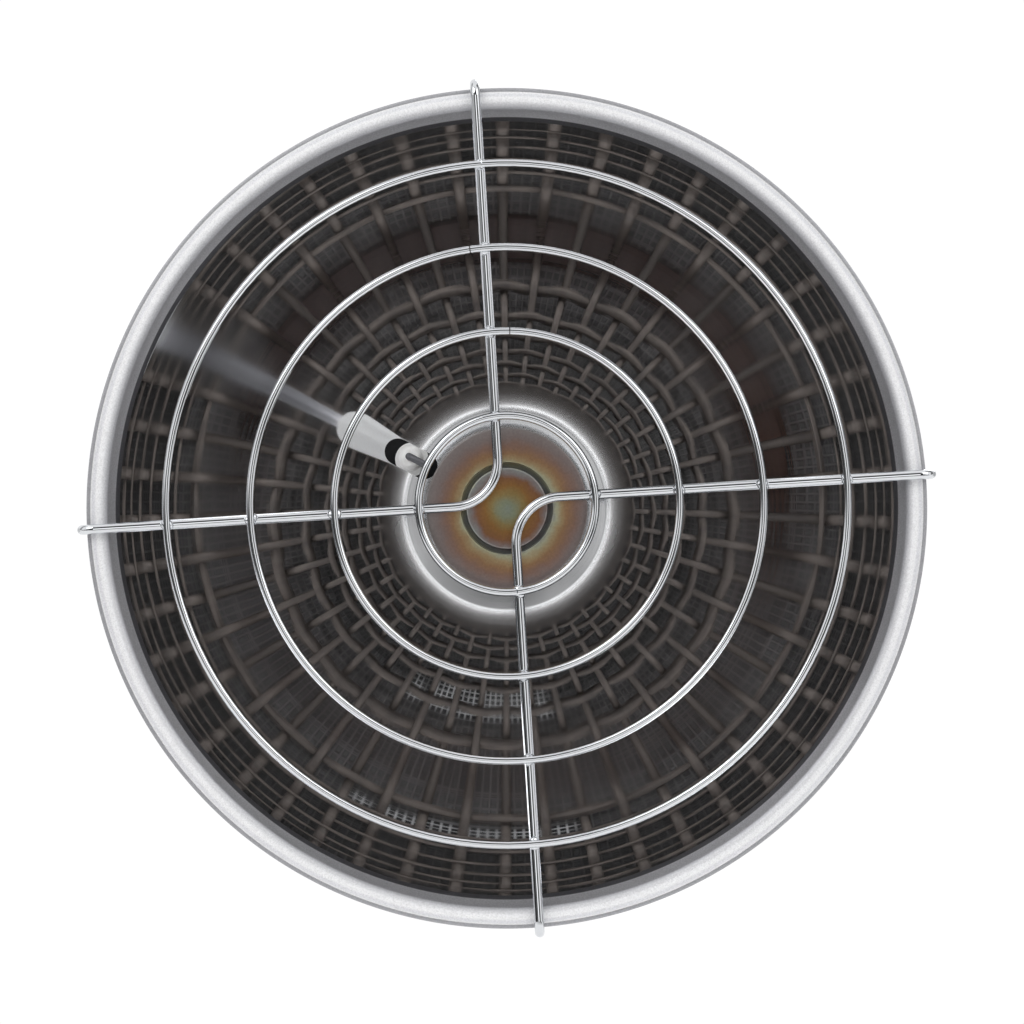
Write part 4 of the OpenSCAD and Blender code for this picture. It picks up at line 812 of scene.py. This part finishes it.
# Each card's direction round the dish's axis, its angle from straight in front and its half width,
# all in degrees, and how much light passes it.
BLACK_CARDS = [
    (192, 50, 13, 0.03), (188, 67, 12, 0.04), (186, 84, 10, 0.14), (335, 36, 9, 0.06),
    (339, 52, 9, 0.1), (345, 64, 8, 0.35), (116, 54, 11, 0.04), (93, 38, 8, 0.15),
    (4, 88, 13, 0.15), (16, 98, 11, 0.2), (30, 99, 12, 0.2), (46, 96, 14, 0.2),
    (58, 84, 10, 0.2), (135, 103, 14, 0.35), (158, 100, 12, 0.35), (175, 100, 10, 0.25),
    (270, 1.6, 1.3, 0.3), (0, 128, 26, 0.5), (185, 128, 22, 0.7), (270, 132, 20, 0.75)]
CARD_SOFT, CARD_FULL = 1.15, 0.6    # where a card's soft edge begins and is full, in half widths


def studio_light():
    """The white room that the metal mirrors. Going out from straight in front of the dish it is
    dark grey for a degree, bright from 3 to 9 degrees, nearly black from 13 to 30, and white from
    60 on. Black cards between the lights draw the dark lines in the wires. The room is fixed: it
    doesn't turn with the camera."""
    world = bpy.data.worlds.new("white_studio")
    bpy.context.scene.world = world
    world.use_nodes = True
    tree = world.node_tree
    way = add(tree, "ShaderNodeTexCoord").outputs["Generated"]

    def towards(direction):
        """The cosine of the angle between the ray and a direction."""
        return add(tree, "ShaderNodeVectorMath", {0: way, 1: direction},
                   operation="DOT_PRODUCT").outputs["Value"]

    turn = maths(tree, "ARCCOSINE", towards((0, -1, 0)))
    light = ramp(tree, maths(tree, "MULTIPLY", turn, 1 / np.pi), [(d / 180, v) for d, v in ROOM])
    for round_axis, out, half, passes in BLACK_CARDS:
        a, b = np.radians(round_axis), np.radians(out)
        card = (float(np.sin(b) * np.cos(a)), float(-np.cos(b)), float(np.sin(b) * np.sin(a)))
        soft, full = (float(np.cos(np.radians(half * k))) for k in (CARD_SOFT, CARD_FULL))
        light = times(tree, light, span(tree, towards(card), soft, full, 1.0, passes))
    back = tree.nodes["Background"]
    tree.links.new(light, back.inputs["Color"])
    back.inputs["Strength"].default_value = 1.0


def pale_floor():
    """A round pale floor, as far below the inlet as a gas cylinder is tall, that fades out at its
    edge."""
    steps, radius, height = 96, 1.2, -0.215
    fade_from, fade_to = 0.45, 1.15
    t = np.arange(steps) * TAU / steps
    points = np.stack([radius * np.cos(t), radius * np.sin(t), np.full(steps, height)], axis=1)
    floor = surface("studio_floor", points, [tuple(range(steps))])
    material, tree, shader = finish("pale_floor", Roughness=0.9, Base_Color=linear("#F7F7F7"))
    away = length(tree, times(tree, place_of(tree), (1, 1, 0)))
    feed(tree, shader, Alpha=span(tree, away, fade_from, fade_to, 1.0, 0.0))
    floor.data.materials.append(material)


def lamp(name, place, target, size, power):
    """A square soft light at place that faces target. power is in watts."""
    data = bpy.data.lights.new(name, "AREA")
    data.size, data.energy = size, power
    made = bpy.data.objects.new(name, data)
    bpy.context.scene.collection.objects.link(made)
    made.location = place
    made.rotation_euler = (Vector(target) - Vector(place)).to_track_quat("-Z", "Y").to_euler()


CAMERA_AWAY, CAMERA_LEFT, CAMERA_BELOW = 1300.0, 3.4, 10.0    # from the rim's middle, mm
AIM_RIGHT, AIM_BELOW = 1.37, 1.1                              # and the point it looks at, mm
SENSOR, LENS = 36.0, 166.7


def photograph_camera():
    """Nearly square to the dish, 1.3 m from the rim, a little below the axis and left of it, so
    that the flat bottom sits low in the rim as it does in the photograph."""
    rim_y = -DISH_SET - CREST
    data = bpy.data.cameras.new("camera")
    data.sensor_width, data.lens = SENSOR, LENS
    camera = bpy.data.objects.new("camera", data)
    bpy.context.scene.collection.objects.link(camera)
    place = Vector((-CAMERA_LEFT, rim_y - CAMERA_AWAY, AXIS_H - CAMERA_BELOW)) * MM
    target = Vector((AIM_RIGHT, rim_y, AXIS_H - AIM_BELOW)) * MM
    camera.location = place
    camera.rotation_euler = (target - place).to_track_quat("-Z", "Y").to_euler()
    bpy.context.scene.camera = camera


# ---------------------------------------------------------------- the object

mirror_dish()
woven_screen()
stamped_cap()

chrome = bright_chrome()
dress(chrome, "guard_spoke_upper", "guard_spoke_lower", "guard_ring_1", "guard_ring_2",
      "guard_ring_3", "guard_ring_4")
dress(flame_gauze(), "flame_screen")
dress(pressed_steel("fired_stainless", "#8C8A88", 0.35, 0.5), "burner_base", "diffuser_tube")
dress(pressed_steel("bright_zinc_plate", "#C9CCCF", 0.22, 0.36),
      "mixing_tube", "base_screws", "bracket_screws", "electrode_clip", "electrode_screw",
      "pivot_bolt", "pivot_nut", "knob_screw", "valve_spring", "cover_screws", "diaphragm_plate",
      "regulator_spring")
dress(pressed_steel("zinc_plated_sheet", "#B4B8BB", 0.28, 0.42), "rear_bracket")
# painted shade: the bracket is black so that the slot in front of it shows black, as shade would;
# black oxide is also its finish
dress(pressed_steel("black_oxide_and_painted_shade", "#2A2A2B", 0.45, 0.6), "electrode_bracket")
dress(white_ceramic(), "electrode_insulator")
dress(electrode_alloy(), "electrode_wire")
silicone_lead()
weld_nuggets(chrome)
dress(rubber("black_rubber", "#1B1B1C"), "lead_boots", "pivot_seals", "diaphragm", "inlet_seal")
dress(moulded_plastic("black_nylon", "#18181A", 0.38, 0.52), "igniter_body", "igniter_nut", "knob")
dress(moulded_plastic("red_acetal", "#A3150F", 0.2, 0.3), "igniter_button")
dress(brass("machined_brass", "#D9B36A", 0.18, 0.3, 0.5, 0.008),
      "jet", "gland_nut", "valve_plug", "inlet_pin")
dress(brass("forged_brass", "#CDA65E", 0.3, 0.46, 0.7, 0.03), "valve_block", "swivel_eye")
dress(die_cast(), "regulator_body", "regulator_cover")
dress(fibre(), "friction_washers")

studio_light()
pale_floor()
MIDDLE = (0, 0, AXIS_H * MM)
lamp("key_softbox", (-1.2, -1.6, 1.5), MIDDLE, 1.3, 15)
lamp("fill_softbox", (1.3, -1.5, 1.1), MIDDLE, 1.3, 8)
lamp("back_softbox", (0.7, 1.6, 1.2), MIDDLE, 1.0, 12)
photograph_camera()

scene = bpy.context.scene
scene.view_settings.view_transform = "Standard"
scene.cycles.use_denoising = True
scene.cycles.max_bounces = 12
scene.cycles.glossy_bounces = 8
